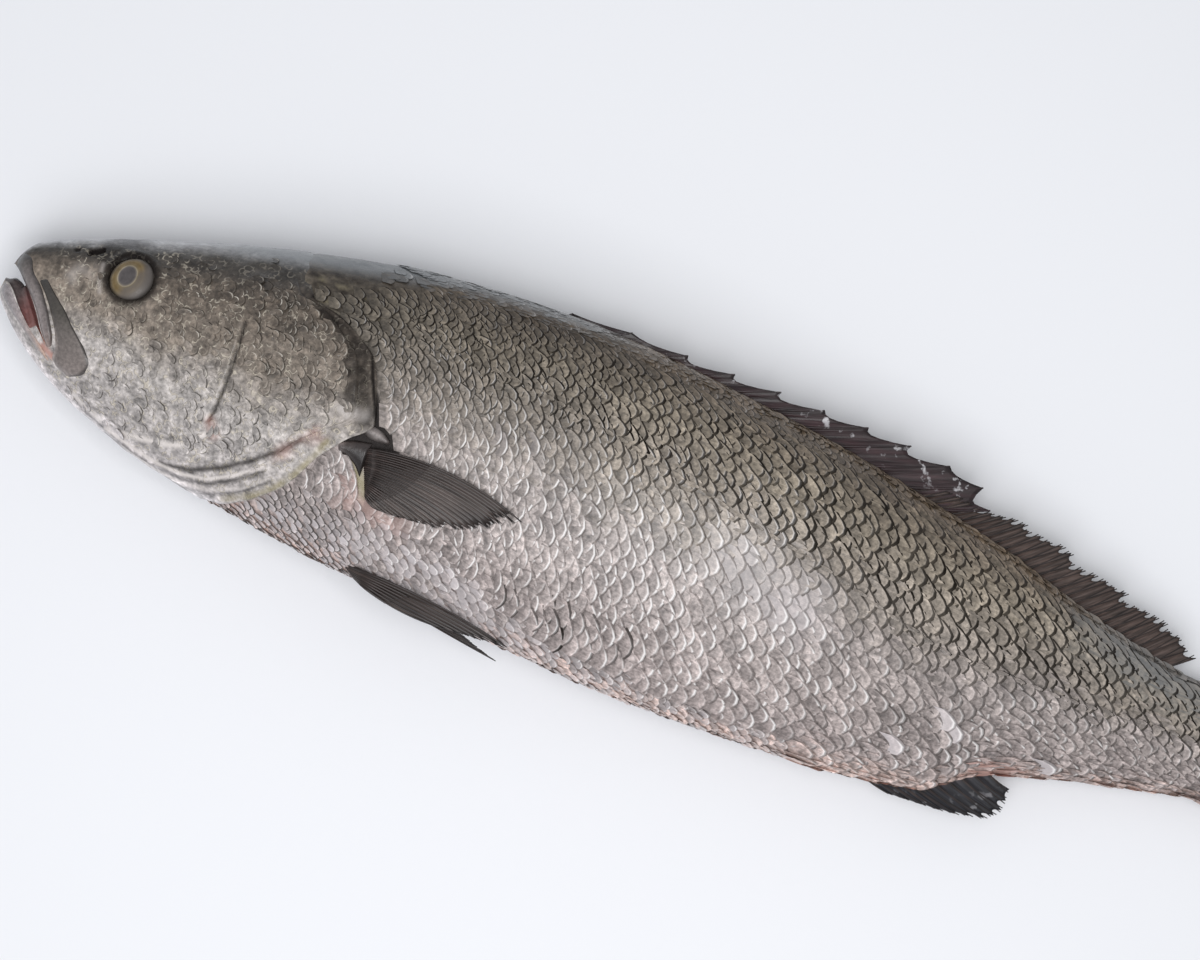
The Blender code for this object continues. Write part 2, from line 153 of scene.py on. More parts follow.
# %% [markdown]
# ## Any point of the skin
# Every ring of the body is an oval whose widest place sits a little above its middle. An angle
# of 0 is the ridge of the back, 90 the upper flank, 180 the keel and 270 the flank underneath,
# which the weight of the fish presses flat. The same few functions also run backwards: they give
# the angle of the skin that is seen at a height t, so that a fold drawn in the side view
# can be laid on the body.

# %% Points on the body
def ease(x):
    """0 before 0, 1 after 1 and a smooth rise between."""
    x = np.clip(x, 0.0, 1.0)
    return x * x * (3 - 2 * x)


def rest_on_board(z):
    """The flesh gives where it lies: nothing is lower than 0, with a soft turn."""
    r = BOARD_CONTACT_BLEND
    pressed = np.where(z < r, (z + r) ** 2 / (4 * r), z)
    return np.where(z < -r, 0.0, pressed)


def skin_point(s, angle, lift=0.0):
    """Points of the skin, lift millimetres outside it."""
    s, angle = np.broadcast_arrays(np.asarray(s, float), np.asarray(angle, float))
    half_depth = (back(s) - belly(s)) / 2
    centre = (back(s) + belly(s)) / 2
    turn = np.radians(angle)
    y = half_depth * (np.cos(turn) + WIDEST_ABOVE_MIDDLE * np.sin(turn) ** 2)
    z = half_thickness(s) * np.sin(turn)
    far = np.maximum(np.hypot(y, z), 1e-6)
    y, z = y * (1 + lift / far), z * (1 + lift / far)
    return np.stack([s, centre + y, rest_on_board(middle(s) + z)], axis=-1)


def angle_at(s, t):
    """The angle of the upper flank's skin that is at height t in the side view."""
    half_depth = (back(s) - belly(s)) / 2
    share = (t - (back(s) + belly(s)) / 2) / np.maximum(half_depth, 1e-6)
    k = WIDEST_ABOVE_MIDDLE
    cosine = (1 - np.sqrt(np.maximum(0.0, 1 - 4 * k * (share - k)))) / (2 * k)
    return np.degrees(np.arccos(np.clip(cosine, -1.0, 1.0)))


def on_flank(s, t, lift=0.0, mirrored=False):
    """Points of a flank seen at (s, t), lift millimetres off it."""
    s, t = np.broadcast_arrays(np.asarray(s, float), np.asarray(t, float))
    z = skin_point(s, angle_at(s, t))[..., 2] + lift
    if mirrored:
        z = 2 * middle(s) - z
    return np.stack([s, t, z], axis=-1)


EYE_PLACE = np.array([47.5, 11.1])
EYE_RADIUS = 9.4
EYE_FLATNESS = 0.52
EYE_SUNK = 2.2


def eye_axes(mirrored):
    """The eye's centre, and the unit vectors back along the body, up the head and out of it."""
    s, t = EYE_PLACE
    along = on_flank(s + 4, t) - on_flank(s - 4, t)
    across = on_flank(s, t + 4) - on_flank(s, t - 4)
    out = np.cross(along, across)
    out /= np.linalg.norm(out)
    centre = on_flank(s, t) - out * EYE_SUNK
    if mirrored:
        centre[2] = 2 * middle(centre[0]) - centre[2]
        out[2] = -out[2]
    along = np.array([1.0, 0.0, 0.0]) - out[0] * out
    along /= np.linalg.norm(along)
    return centre, along, np.cross(out, along), out


low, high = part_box("eye_left")
SHIFT = np.array((low + high) / 2) / MM - eye_axes(False)[0]
print("fish frame sits at", np.round(SHIFT, 2), "mm in the packed frame")

# %% [markdown]
# ## Camera, light and floor
# The fish is looked at from straight above, with its axis turned a little, and it lies in soft
# window-like light on a pale surface. A big lamp overhead gives the broad sheen along the flank,
# and a bright even world fills the shadows as white walls would.

# %% Camera, lights, floor
CAMERA_OVER = (246.3, 6.6)
CAMERA_HEIGHT = 1200.0
AXIS_TURN = 22.0
LENS = 88.2


def to_world(points):
    """Millimetres of the fish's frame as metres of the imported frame."""
    return (np.asarray(points, float) + SHIFT) * MM


def srgb(code):
    """An sRGB hex colour as the linear values that shaders take."""
    parts = [int(code[i:i + 2], 16) / 255 for i in (1, 3, 5)]
    linear = [c / 12.92 if c <= 0.04045 else ((c + 0.055) / 1.055) ** 2.4 for c in parts]
    return (*linear, 1.0)


def add_node(tree, kind, links=None, **settings):
    """Adds a node: settings are its properties, links its inputs, as a socket or a value."""
    made = tree.nodes.new(kind)
    for key, value in settings.items():
        setattr(made, key, value)
    for key, value in (links or {}).items():
        if isinstance(value, bpy.types.NodeSocket):
            tree.links.new(value, made.inputs[key])
        else:
            made.inputs[key].default_value = value
    return made


def maths(tree, how, *values):
    """A math node on the values, each of which is a socket or a number."""
    return add_node(tree, "ShaderNodeMath", dict(enumerate(values)), operation=how).outputs[0]


def vector_maths(tree, how, *values):
    made = add_node(tree, "ShaderNodeVectorMath", dict(enumerate(values)), operation=how)
    return made.outputs[0]


def area_light(name, place, target, size, power, colour="#ffffff"):
    """A square soft lamp, in millimetres of the fish's frame, turned to its target."""
    data = bpy.data.lights.new(name, "AREA")
    data.size = size * MM
    data.energy = power
    data.color = srgb(colour)[:3]
    lamp = bpy.data.objects.new(name, data)
    bpy.context.scene.collection.objects.link(lamp)
    lamp.location = to_world(place)
    lamp.rotation_mode = "QUATERNION"
    aim = Vector(to_world(target)) - lamp.location
    lamp.rotation_quaternion = aim.to_track_quat("-Z", "Y")
    return lamp


camera_data = bpy.data.cameras.new("camera")
camera_data.lens = LENS
camera_data.clip_start = 0.05
camera = bpy.data.objects.new("camera", camera_data)
bpy.context.scene.collection.objects.link(camera)
camera.location = to_world((*CAMERA_OVER, CAMERA_HEIGHT))
camera.rotation_euler = (0.0, 0.0, math.radians(AXIS_TURN))
bpy.context.scene.camera = camera

world = bpy.data.worlds.new("white room")
world.use_nodes = True
world.node_tree.nodes["Background"].inputs["Color"].default_value = srgb("#f4f6fa")
world.node_tree.nodes["Background"].inputs["Strength"].default_value = 0.56
bpy.context.scene.world = world
bpy.context.scene.view_settings.view_transform = "Standard"
area_light(
    "overhead softbox", place=(330, -40, 1150), target=(270, -10, 30), size=480, power=5.4,
)
area_light(
    "window", place=(200, -520, 1020), target=(250, 0, 30), size=600, power=3.4, colour="#fbfcff",
)

floor_mesh = bpy.data.meshes.new("floor")
FLOOR_HALF = 3.0
corners = [(-1, -1), (1, -1), (1, 1), (-1, 1)]
floor_mesh.from_pydata([(x * FLOOR_HALF, y * FLOOR_HALF, 0.0) for x, y in corners], [], [(0, 1, 2, 3)])
floor = bpy.data.objects.new("floor", floor_mesh)
bpy.context.scene.collection.objects.link(floor)
floor_finish = bpy.data.materials.new("Matt white laminate")
floor_finish.use_nodes = True
floor_shader = floor_finish.node_tree.nodes["Principled BSDF"]
floor_shader.inputs["Base Color"].default_value = srgb("#e9eaed")
floor_shader.inputs["Roughness"].default_value = 0.7
floor_mesh.materials.append(floor_finish)
print("camera", [round(v, 4) for v in camera.location])

# %% [markdown]
# ## Helpers for pieces
# Skin, scales and fins are all grids of points, so one function makes a mesh from a grid in
# millimetres, and one stores a number at each vertex, which the materials then read by name.
# A piece that a Geometry Nodes tree made becomes a plain mesh before it joins the fish.

# %% Meshes, attributes and hand-over
def grid_faces(rows, columns, closed=False, start=0):
    """Quads between rows of points that are listed one row after another."""
    row = np.arange(rows - 1)[:, None] * columns
    column = np.arange(columns if closed else columns - 1)[None, :]
    beside = (column + 1) % columns
    corners = [row + column, row + beside, row + columns + beside, row + columns + column]
    return (np.stack(corners, axis=-1).reshape(-1, 4) + start).tolist()


def new_mesh_object(name, points, faces, edges=()):
    """A smooth mesh object from points in millimetres of the fish's frame."""
    mesh = bpy.data.meshes.new(name)
    mesh.from_pydata(to_world(points).tolist(), list(edges), faces)
    mesh.shade_smooth()
    obj = bpy.data.objects.new(name, mesh)
    bpy.context.scene.collection.objects.link(obj)
    return obj


def store(obj, name, values):
    """Stores a number, or a vector, at every vertex."""
    values = np.asarray(values, np.float32)
    kind, field = ("FLOAT_VECTOR", "vector") if values.ndim == 2 else ("FLOAT", "value")
    attribute = obj.data.attributes.new(name, kind, "POINT")
    attribute.data.foreach_set(field, values.ravel())


def fish_points(obj):
    """A piece's vertices, back in millimetres of the fish's frame."""
    flat = np.empty(len(obj.data.vertices) * 3, np.float32)
    obj.data.vertices.foreach_get("co", flat)
    return flat.reshape(-1, 3) / MM - SHIFT


def set_points(obj, points):
    obj.data.vertices.foreach_set("co", to_world(points).astype(np.float32).ravel())
    obj.data.update()


def apply_modifiers(obj):
    """Turns what the modifiers make into the piece's own plain mesh."""
    graph = bpy.context.evaluated_depsgraph_get()
    made = bpy.data.meshes.new_from_object(obj.evaluated_get(graph))
    obj.modifiers.clear()
    obj.data = made


def face_outwards(obj):
    """Turns a closed mesh's faces outwards."""
    work = bmesh.new()
    work.from_mesh(obj.data)
    bmesh.ops.recalc_face_normals(work, faces=work.faces)
    work.to_mesh(obj.data)
    work.free()


def closed_tube(name, rings, front_reversed=False):
    """A closed solid from an array of rings of points, with both of its ends capped.

    front_reversed lists the front cap's corners the other way, which sets how it is cut up."""
    count, sides = rings.shape[:2]
    faces = grid_faces(count, sides, closed=True)
    faces.append(list(range(sides))[::-1] if front_reversed else list(range(sides)))
    faces.append([(count - 1) * sides + i for i in range(sides)])
    made = new_mesh_object(name, rings.reshape(-1, 3), faces)
    face_outwards(made)
    return made


def hand_over(obj, node="corvina"):
    """Gives a finished piece to the fish."""
    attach(obj, "root")
    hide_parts(node)
    triangles = sum(len(face.vertices) - 2 for face in obj.data.polygons)
    print(f"{obj.name}: {triangles} triangles")


def distance_to(line, s, t):
    """How far each place (s, t) is from a line of points, in millimetres."""
    place = np.stack([np.asarray(s, float), np.asarray(t, float)], axis=-1)
    nearest = np.full(place.shape[:-1], np.inf)
    for a, b in zip(np.array(line, float), np.array(line, float)[1:]):
        along = np.clip((place - a) @ (b - a) / ((b - a) @ (b - a)), 0.0, 1.0)
        gap = np.linalg.norm(place - a - along[..., None] * (b - a), axis=-1)
        nearest = np.minimum(nearest, gap)
    return nearest


def near(line, s, t, width):
    """1 on the line, fading to 0 at width from it."""
    return 1 - ease(distance_to(line, s, t) / width)


def inside(outline, s, t):
    """Whether each place (s, t) is inside a closed outline."""
    s, t = np.asarray(s, float), np.asarray(t, float)
    found = np.zeros(s.shape, bool)
    for (s0, t0), (s1, t1) in zip(outline, outline[1:] + outline[:1]):
        crosses = (t0 > t) != (t1 > t)
        at = s0 + (t - t0) * (s1 - s0) / np.where(t1 == t0, 1e-9, t1 - t0)
        found ^= crosses & (s < at)
    return found


def wobble(s, t, z, size, seed):
    """A soft random field between -1 and 1, with humps about size millimetres apart."""
    draw = np.random.default_rng(seed)
    total = np.zeros(np.broadcast(s, t, z).shape)
    waves = 14
    for _ in range(waves):
        direction = draw.normal(size=3)
        direction *= 2 * math.pi / size / np.linalg.norm(direction) * draw.uniform(0.6, 1.4)
        phase = draw.uniform(0, 2 * math.pi)
        total += np.sin(direction[0] * s + direction[1] * t + direction[2] * z + phase)
    return np.clip(total / math.sqrt(waves), -1.6, 1.6) / 1.6


def girth_of(points):
    """Where a point lies round the body: 0 at the ridge of the back, 1 at the keel."""
    s, t, _ = points.T
    return angle_at(s, t) / 180


# %% [markdown]
# ## The shape of the head
# A meagre's head is skin over plates of bone. The plates show as a few long edges: the cheek
# plate's rear edge, the gill cover's lower margin and the folds of the gill membrane under it.
# Nostrils and an eye socket are hollows. All of that is low relief, so it could be sculpted;
# here each edge is a short line in the side view, and a rule raises or sinks the skin near it.

# %% Lines of the head
CHEEK_EDGE = (
    (95.5, 20), (97, 12), (98.3, 2.8), (99, -11.4), (98.7, -24), (97.6, -29.4), (97.7, -34),
)
CHEEK_CORNER = ((97.7, -34), (93.5, -40.5), (86, -43.5), (76, -45.3), (66, -46.8))
CHIN_FOLD = ((38, -39.5), (48, -44.3), (60, -48.6), (72, -52.4), (84, -54.6))
JAW_FOLD = ((58, -47.5), (70, -50), (82, -52.3), (94, -52.6), (104, -50.5), (114, -45), (124, -37.5))
LOWER_FOLD = ((66, -51.5), (80, -55), (95, -56.2), (107, -54), (118, -48.5), (128, -40))
COVER_FOLD = ((84, -50.5), (97, -48), (108, -42.5), (118, -36), (127, -28), (134, -20.5))
NOSTRIL = ((27.4, 14.4), (29.4, 15.5), (31.6, 17.4))
SMALL_NOSTRIL = ((21.5, 13.4), (22.6, 14.0))


def head_relief(s, t):
    """How far the head's skin stands out or sinks at a place in the side view."""
    from_eye = np.hypot(s - EYE_PLACE[0], (t - EYE_PLACE[1]) * 1.04)
    lift = 0.45 * near(CHEEK_CORNER, s, t, 3.0)
    lift -= 1.0 * near(CHEEK_EDGE, s + 0.3, t, 1.5)
    lift += 0.5 * near(CHEEK_EDGE, s + 2.6, t, 3.0)
    lift += 0.7 * near(JAW_FOLD, s, t, 1.6) - 0.6 * near(JAW_FOLD, s, t + 2.3, 1.7)
    lift += 0.7 * near(LOWER_FOLD, s, t, 1.6) - 0.6 * near(LOWER_FOLD, s, t + 2.0, 1.7)
    lift -= 0.8 * near(COVER_FOLD, s, t + 1.6, 1.8)
    lift -= 2.2 * near(NOSTRIL, s, t, 1.7) - 0.5 * near(NOSTRIL, s + 1.2, t - 1.4, 2.2)
    lift -= 0.9 * near(SMALL_NOSTRIL, s, t, 1.3)
    lift += 0.7 * (1 - ease(np.abs(from_eye - 10.6) / 2.4))
    lift -= 3.2 * (1 - ease((from_eye - 7.6) / 1.9))
    return lift


def shoulder_fade(angle):
    """How much of the gill cover's step shows: none over the nape, little under the throat."""
    folded = np.minimum(angle, 360 - angle)
    return ease((folded - 38) / 20) * (1 - 0.85 * ease((folded - 158) / 14))


HEAD_RINGS = 215
HEAD_SIDES = 344
NOSE_CROWDING = 1.25
MEMBRANE_RINGS = 12
TUCK_RINGS = 4
TUCK_DEPTH = 2.2
TUCK_LENGTH = 5.0
NAPE_DIP = 0.8
NAPE_DIP_LENGTH = 6.0


def head_rings():
    """Grids of s and lift for the head: the bony part, the gill membrane, and a hidden tuck."""
    angle = np.arange(HEAD_SIDES) * 360 / HEAD_SIDES
    folded = np.minimum(angle, 360 - angle)
    margin, edge = cover_margin(folded), membrane_edge(folded)
    straight = 120.0
    u = (np.arange(HEAD_RINGS + 1)[:, None] / HEAD_RINGS) ** NOSE_CROWDING
    s = CHIN_FRONT + straight * u + (margin - straight - CHIN_FRONT) * u * u
    lift = COVER_STEP * ease((u - 0.55) / 0.4) * np.ones_like(angle)
    v = np.arange(MEMBRANE_RINGS + 1)[:, None] / MEMBRANE_RINGS
    s = np.vstack([s, margin + 0.5 + (edge - margin - 0.5) * v])
    lift = np.vstack([lift, MEMBRANE_STEP * (0.35 + 0.65 * v) * np.ones_like(angle)])
    w = np.arange(1, TUCK_RINGS + 1)[:, None] / TUCK_RINGS
    s = np.vstack([s, edge + 0.3 - TUCK_LENGTH * (w - 0.25) * (w > 0.3)])
    lift = np.vstack([lift, MEMBRANE_STEP * (1 - ease(w * 1.6)) * np.ones_like(angle)])
    tuck = np.vstack([np.zeros((len(s) - TUCK_RINGS, 1)), TUCK_DEPTH * ease(w * 1.6)])
    nape = 1 - ease((folded - 38) / 20)
    dip = NAPE_DIP * nape * ease((s - edge + NAPE_DIP_LENGTH) / NAPE_DIP_LENGTH)
    return s, lift * shoulder_fade(angle) - tuck - dip, angle * np.ones_like(s)


def build_head():
    s, lift, angle = head_rings()
    flat = skin_point(s, angle)
    rises = np.abs(np.sin(np.radians(angle))) ** 0.4
    lift = lift + head_relief(flat[..., 0], flat[..., 1]) * rises
    bumps = wobble(flat[..., 0], flat[..., 1], flat[..., 2], 9.0, 3)
    lift = lift + 0.28 * bumps * ease((s - 12) / 30)
    return closed_tube("head_skin", skin_point(s, angle, lift), front_reversed=True)


head = build_head()
print("head:", len(head.data.vertices), "vertices")

# %% [markdown]
# ## The open mouth
# The jaws are a little apart. Each side of the mouth is a pocket that gets shallower towards the
# corner, and only at the tip of the snout can one see right through. A Boolean difference cuts
# that space from the head, because then the jaws keep their own outer shape. The cut faces
# take the cutter's material, which is the wet red-brown lining.

# %% Cut the mouth
UPPER_JAW_EDGE = (
    (-9.0, -0.9), (0.4, -1.2), (7.4, -6.3), (12.1, -10.6), (16.6, -15.8), (20.6, -21.4),
    (26.0, -27.5),
)
CHIN_EDGE = (
    (-9.0, -7.5), (-0.7, -6.7), (1.3, -5.4), (4.1, -6.0), (7.2, -8.4), (10.0, -12.0),
    (26.0, -27.5),
)
JAW_RIM = (
    (-9.0, -9.0), (0.0, -8.4), (3.1, -10.2), (7.1, -14.4), (11.5, -18.7), (16.5, -22.6),
    (22.1, -26.2), (26.0, -27.8),
)
THROUGH_UNTIL = 6.5
THROUGH_DEPTH = -1.5
CUT_REACH = (-9.0, 26.4)
CUT_TOP = 42.0
UNDER_LIP = 0.3
POCKET_STATIONS = 44
POCKET_STEPS = 8


def mouth_cutter(mirrored):
    """One side's pocket: closed, from outside the jaws down to its sloping floor."""
    upper, chin, rim = smooth_curve(UPPER_JAW_EDGE), smooth_curve(CHIN_EDGE), smooth_curve(JAW_RIM)
    s = np.linspace(*CUT_REACH, POCKET_STATIONS)[:, None]
    share = np.linspace(0, 1, POCKET_STEPS + 1)[None, :]
    half = half_thickness(np.maximum(s, 0.0))
    pocket = half * (0.25 + 0.5 * ease((s - THROUGH_UNTIL) / 18))
    depth = np.where(s < THROUGH_UNTIL, THROUGH_DEPTH, pocket)
    top, low_in, low_out = upper(s), chin(s), rim(s)
    floor_t = top + UNDER_LIP + (low_in - top - UNDER_LIP) * share
    floor_z = depth + (half * 0.22) * ease((share - 0.55) / 0.45) * (s >= THROUGH_UNTIL)
    rim_t = low_in + (low_out - low_in) * np.linspace(0.35, 1, 4)[None, :]
    rim_z = np.maximum(floor_z[:, -1:], half * np.linspace(0.45, 0.74, 4)[None, :])
    outside_z = CUT_TOP + 0 * s
    t = np.hstack([top + UNDER_LIP, floor_t, rim_t, low_out])
    z = np.hstack([outside_z, floor_z, rim_z, outside_z])
    z = middle(s) + (-z if mirrored else z)
    return closed_tube("mouth_cutter", np.stack([s + 0 * t, t, z], axis=-1))


def cut_mouth(lining):
    for mirrored in (False, True):
        cutter = mouth_cutter(mirrored)
        cutter.data.materials.append(lining)
        cut = head.modifiers.new("Mouth", "BOOLEAN")
        cut.operation = "DIFFERENCE"
        cut.object = cutter
        cut.solver = "EXACT"
        cut.material_mode = "TRANSFER"
        apply_modifiers(head)
        bpy.data.objects.remove(cutter, do_unlink=True)

# %% [markdown]
# ## Skin colours
# Fresh fish skin is a wet, slightly clear layer over pigment and silver. From the ridge of the
# back to the keel it goes from slate through dark olive to a pinkish silver and a paler belly.
# The slate of the ridge and the crown is lighter than the skin's own, a painted sheen where the
# skin is seen at a grazing angle. A colour ramp read over the girth gives that, noises break it
# up at the sizes of real blotches, and numbers stored at the vertices add the dark gill membrane,
# pink bruises and pale folds, and painted shade and highlights on the head's grooves and folds.
# A thin clear coat gives the wet gloss; where the skin is black and soft it is duller.

# %% Skin materials
BACK_TO_KEEL = (
    (0.00, "#80705f"),  # ridge, lighter brown: painted sheen of the grazing edge
    (0.15, "#554a3e"),  # umber of the back
    (0.30, "#8a8072"),  # olive-grey upper flank
    (0.48, "#8c837b"),  # where the back's colour gives way
    (0.56, "#a49a96"),  # silver of the flank
    (0.82, "#a59996"),  # silver of the belly
    (0.92, "#d4bab0"),  # rosy keel
)
HEAD_TO_THROAT = (
    (0.00, "#85888a"),  # slate crown, lightened by painted sheen
    (0.08, "#a0a0a2"),  # painted sheen beside the crown
    (0.21, "#3c3833"),  # dark band above the eye
    (0.27, "#3e3832"),  # its lower edge
    (0.36, "#665c52"),  # olive-brown cheek
    (0.50, "#7c7268"),  # paler cheek
    (0.62, "#aca6a2"),  # silver of the jaw
    (0.82, "#a8a2a0"),  # silver of the gill cover's foot
    (0.92, "#e0d8d8"),  # white throat
)
# The ridge's slate, lighter than the skin's own, as a painted sheen of the grazing edge.
SLATE = "#83878a"
# On the head, dark also paints shade in grooves and nostrils, and pale paints highlights on folds.
HEAD_MASK_COLOURS = (
    ("dark", "#171312"), ("rose", "#c08d80"), ("straw", "#8b8056"), ("pale", "#ddd5d0"),
    ("slate", SLATE),
)
TRUNK_MASK_COLOURS = (
    ("dark", "#1d1918"), ("rose", "#c9988a"), ("straw", "#8f865c"), ("pale", "#cfc6c2"),
    ("slate", SLATE),
)
SKIN_ROUGHNESS = 0.42
SKIN_COAT = 0.4
HEAD_CURL_SIZE = 2.9


def start_material(name):
    made = bpy.data.materials.new(name)
    made.use_nodes = True
    tree = made.node_tree
    return made, tree, tree.nodes["Principled BSDF"]


def object_noise(tree, size, detail=3.0, roughness=0.55):
    """Noise with humps about size millimetres across, fixed to the fish."""
    place = add_node(tree, "ShaderNodeTexCoord").outputs["Object"]
    scale = 1 / (size * MM)
    links = {"Vector": place, "Scale": scale, "Detail": detail, "Roughness": roughness}
    return add_node(tree, "ShaderNodeTexNoise", links).outputs["Fac"]


def ramp(tree, factor, stops):
    """A colour ramp through (position, hex colour or grey level) stops."""
    made = add_node(tree, "ShaderNodeValToRGB", {"Fac": factor})
    points = made.color_ramp.elements
    while len(points) < len(stops):
        points.new(0.5)
    for point, (place, colour) in zip(points, stops):
        point.position = place
        point.color = srgb(colour) if isinstance(colour, str) else (colour, colour, colour, 1.0)
    return made.outputs["Color"]


def mixed(tree, factor, first, second, how="MIX"):
    links = {0: factor, 6: first, 7: second}
    return add_node(tree, "ShaderNodeMix", links, data_type="RGBA", blend_type=how).outputs[2]


def stored(tree, name):
    return add_node(tree, "ShaderNodeAttribute", attribute_name=name).outputs["Fac"]


def girth_colour(tree, stops, blotch, fine, mottle):
    """The skin's own colour round the body, broken up by blotches, mottling and fine grain."""
    drift = maths(tree, "MULTIPLY_ADD", object_noise(tree, blotch, 4.0), 0.12, -0.06)
    base = ramp(tree, maths(tree, "ADD", stored(tree, "girth"), drift), stops)
    small = ramp(tree, object_noise(tree, fine, 3.0), ((0.28, 0.55), (0.5, 0.97), (0.72, 1.45)))
    base = mixed(tree, stored(tree, "patchy"), base, small, "MULTIPLY")
    patches = ramp(
        tree, object_noise(tree, 5.5, 5.0, 0.65),
        ((0.3, 1 - mottle), (0.5, 1.0), (0.7, 1 + 1.35 * mottle)),
    )
    base = mixed(tree, stored(tree, "patchy"), base, patches, "MULTIPLY")
    return mixed(tree, 1.0, base, stored(tree, "light"), "MULTIPLY")


def head_light(s, girth):
    """How much lighter or darker than its ramp the head's skin is, region by region; lighter along the
    crown as a painted sheen.
    """
    cheek = (1 - ease((s - 48) / 22)) * ease((girth - 0.26) / 0.08)
    cheek = cheek * (1 - ease((girth - 0.50) / 0.08))
    nape = ease((s - 84) / 20) * (1 - ease((girth - 0.38) / 0.06))
    # crown: painted sheen along the crown, seen at a grazing angle.
    crown = (1 - ease((s - 75) / 35)) * (1 - ease((girth - 0.12) / 0.06))
    return 1 + 0.28 * cheek - 0.12 * nape + 0.25 * crown


def trunk_light(s, girth):
    """The same for the trunk: darkest behind the nape, lighter on the rear of the back, and lighter along
    the front of the ridge as a painted sheen.

    Next to the head, where behind is 0, it is darkened by as much as the head's nape."""
    upper = 1 - ease((girth - 0.46) / 0.08)
    shoulder = (1 - ease((s - 215) / 40)) * (1 - ease((girth - 0.375) / 0.10))
    front = (1 - ease((s - 130) / 45)) * (1 - ease((girth - 0.34) / 0.08))
    rear = ease((s - 225) / 30) * upper
    tail_back = ease((s - 340) / 60) * (1 - ease((girth - 0.20) / 0.08))
    tail_belly = ease((s - 360) / 40) * (1 - upper)
    # ridge: painted sheen along the front of the ridge, seen at a grazing angle.
    ridge = ease((s - 140) / 30) * (1 - ease((s - 235) / 30)) * (1 - ease((girth - 0.05) / 0.05))
    lighter = 0.35 * ridge + 0.12 * rear + 0.35 * tail_back
    behind = ease((s - 104) / 26)
    darker = behind * (0.20 * shoulder + 0.26 * front) + 0.12 * (1 - behind)
    return 1 + lighter - (darker + 0.08 * tail_belly)


def slate_ridge(s, girth):
    """Blue-grey along the nape and the front of the ridge, and again, fainter, over the tail: the skin's
    slate, made light as a painted sheen of the grazing edge.
    """
    reach = 0.07 + 0.045 * (1 - ease((s - 125) / 60))
    nape = (1 - ease((girth - reach) / 0.09)) * ease((s - 60) / 40) * (1 - ease((s - 205) / 50))
    tail = ease((s - 415) / 50) * (1 - ease((girth - 0.24) / 0.20))
    return 0.8 * nape + 0.5 * tail


def calm_crown(girth):
    """How patchy the skin is: less so on the crown and the ridge."""
    return 0.4 + 0.6 * ease((girth - 0.08) / 0.10)


def with_masks(tree, colour, masks):
    for name, code in masks:
        colour = mixed(tree, stored(tree, name), colour, srgb(code))
    return colour


GLOSS = ("Coat Weight", "Specular IOR Level")


def wet(shader, roughness, coat):
    """Wet skin: a soft sheen under a thin, smooth, clear film of water and slime."""
    shader.inputs["Specular IOR Level"].default_value = 0.35
    shader.inputs["Roughness"].default_value = roughness
    shader.inputs["Coat Weight"].default_value = coat
    shader.inputs["Coat Roughness"].default_value = 0.16
    shader.inputs["Coat IOR"].default_value = 1.34


def dull_where(tree, shader, amount, names):
    """Takes most of the named kinds of gloss away where amount is 1."""
    for name in names:
        most = shader.inputs[name].default_value
        left = maths(tree, "MULTIPLY_ADD", amount, -0.85 * most, most)
        tree.links.new(left, shader.inputs[name])


def bump(tree, shader, height, distance):
    """Relief too fine for the mesh: distance is in millimetres."""
    made = add_node(tree, "ShaderNodeBump", {"Height": height, "Distance": distance * MM})
    tree.links.new(made.outputs["Normal"], shader.inputs["Normal"])


def curls_of_skin(tree, size):
    """Thin broken arcs, like the rims of tiny scales sunk in the skin."""
    place = add_node(tree, "ShaderNodeTexCoord").outputs["Object"]
    links = {"Vector": place, "Scale": 1 / (1.6 * size * MM), "Detail": 2.0}
    drift = add_node(tree, "ShaderNodeTexNoise", links).outputs["Color"]
    bent = vector_maths(tree, "MULTIPLY_ADD", drift, (0.9 * size * MM,) * 3, place)
    links = {"Vector": bent, "Scale": 1 / (size * MM), "Randomness": 0.9}
    cells = add_node(tree, "ShaderNodeTexVoronoi", links).outputs["Distance"]
    rings = ramp(tree, cells, ((0.36, 0.0), (0.45, 1.0), (0.50, 0.9), (0.60, 0.0)))
    broken = ramp(tree, object_noise(tree, 1.3 * size, 2.0), ((0.46, 0.0), (0.58, 1.0)))
    return mixed(tree, 1.0, rings, broken, "MULTIPLY")


def skin_material(name, stops, masks, curls=None):
    """Fish skin. curls is the size of its pale scale rims in millimetres, if it has any."""
    made, tree, shader = start_material(name)
    colour = girth_colour(tree, stops, 26.0, 1.8, 0.5 if curls else 0.15)
    relief = object_noise(tree, 1.6, 5.0, 0.6)
    if curls:
        arcs = curls_of_skin(tree, curls)
        bare = stored(tree, "bare")
        kept = maths(tree, "MULTIPLY", arcs, bare)
        colour = mixed(tree, maths(tree, "MULTIPLY", kept, 0.72), colour, srgb("#cdc3b2"))
        relief = maths(tree, "MULTIPLY_ADD", kept, 0.9, relief)
    colour = with_masks(tree, colour, masks)
    tree.links.new(colour, shader.inputs["Base Color"])
    wet(shader, SKIN_ROUGHNESS, SKIN_COAT)
    dull_where(tree, shader, stored(tree, "dark"), GLOSS)
    bump(tree, shader, relief, 0.35)
    return made


LINING_REACH = (-3.0, 27.0)


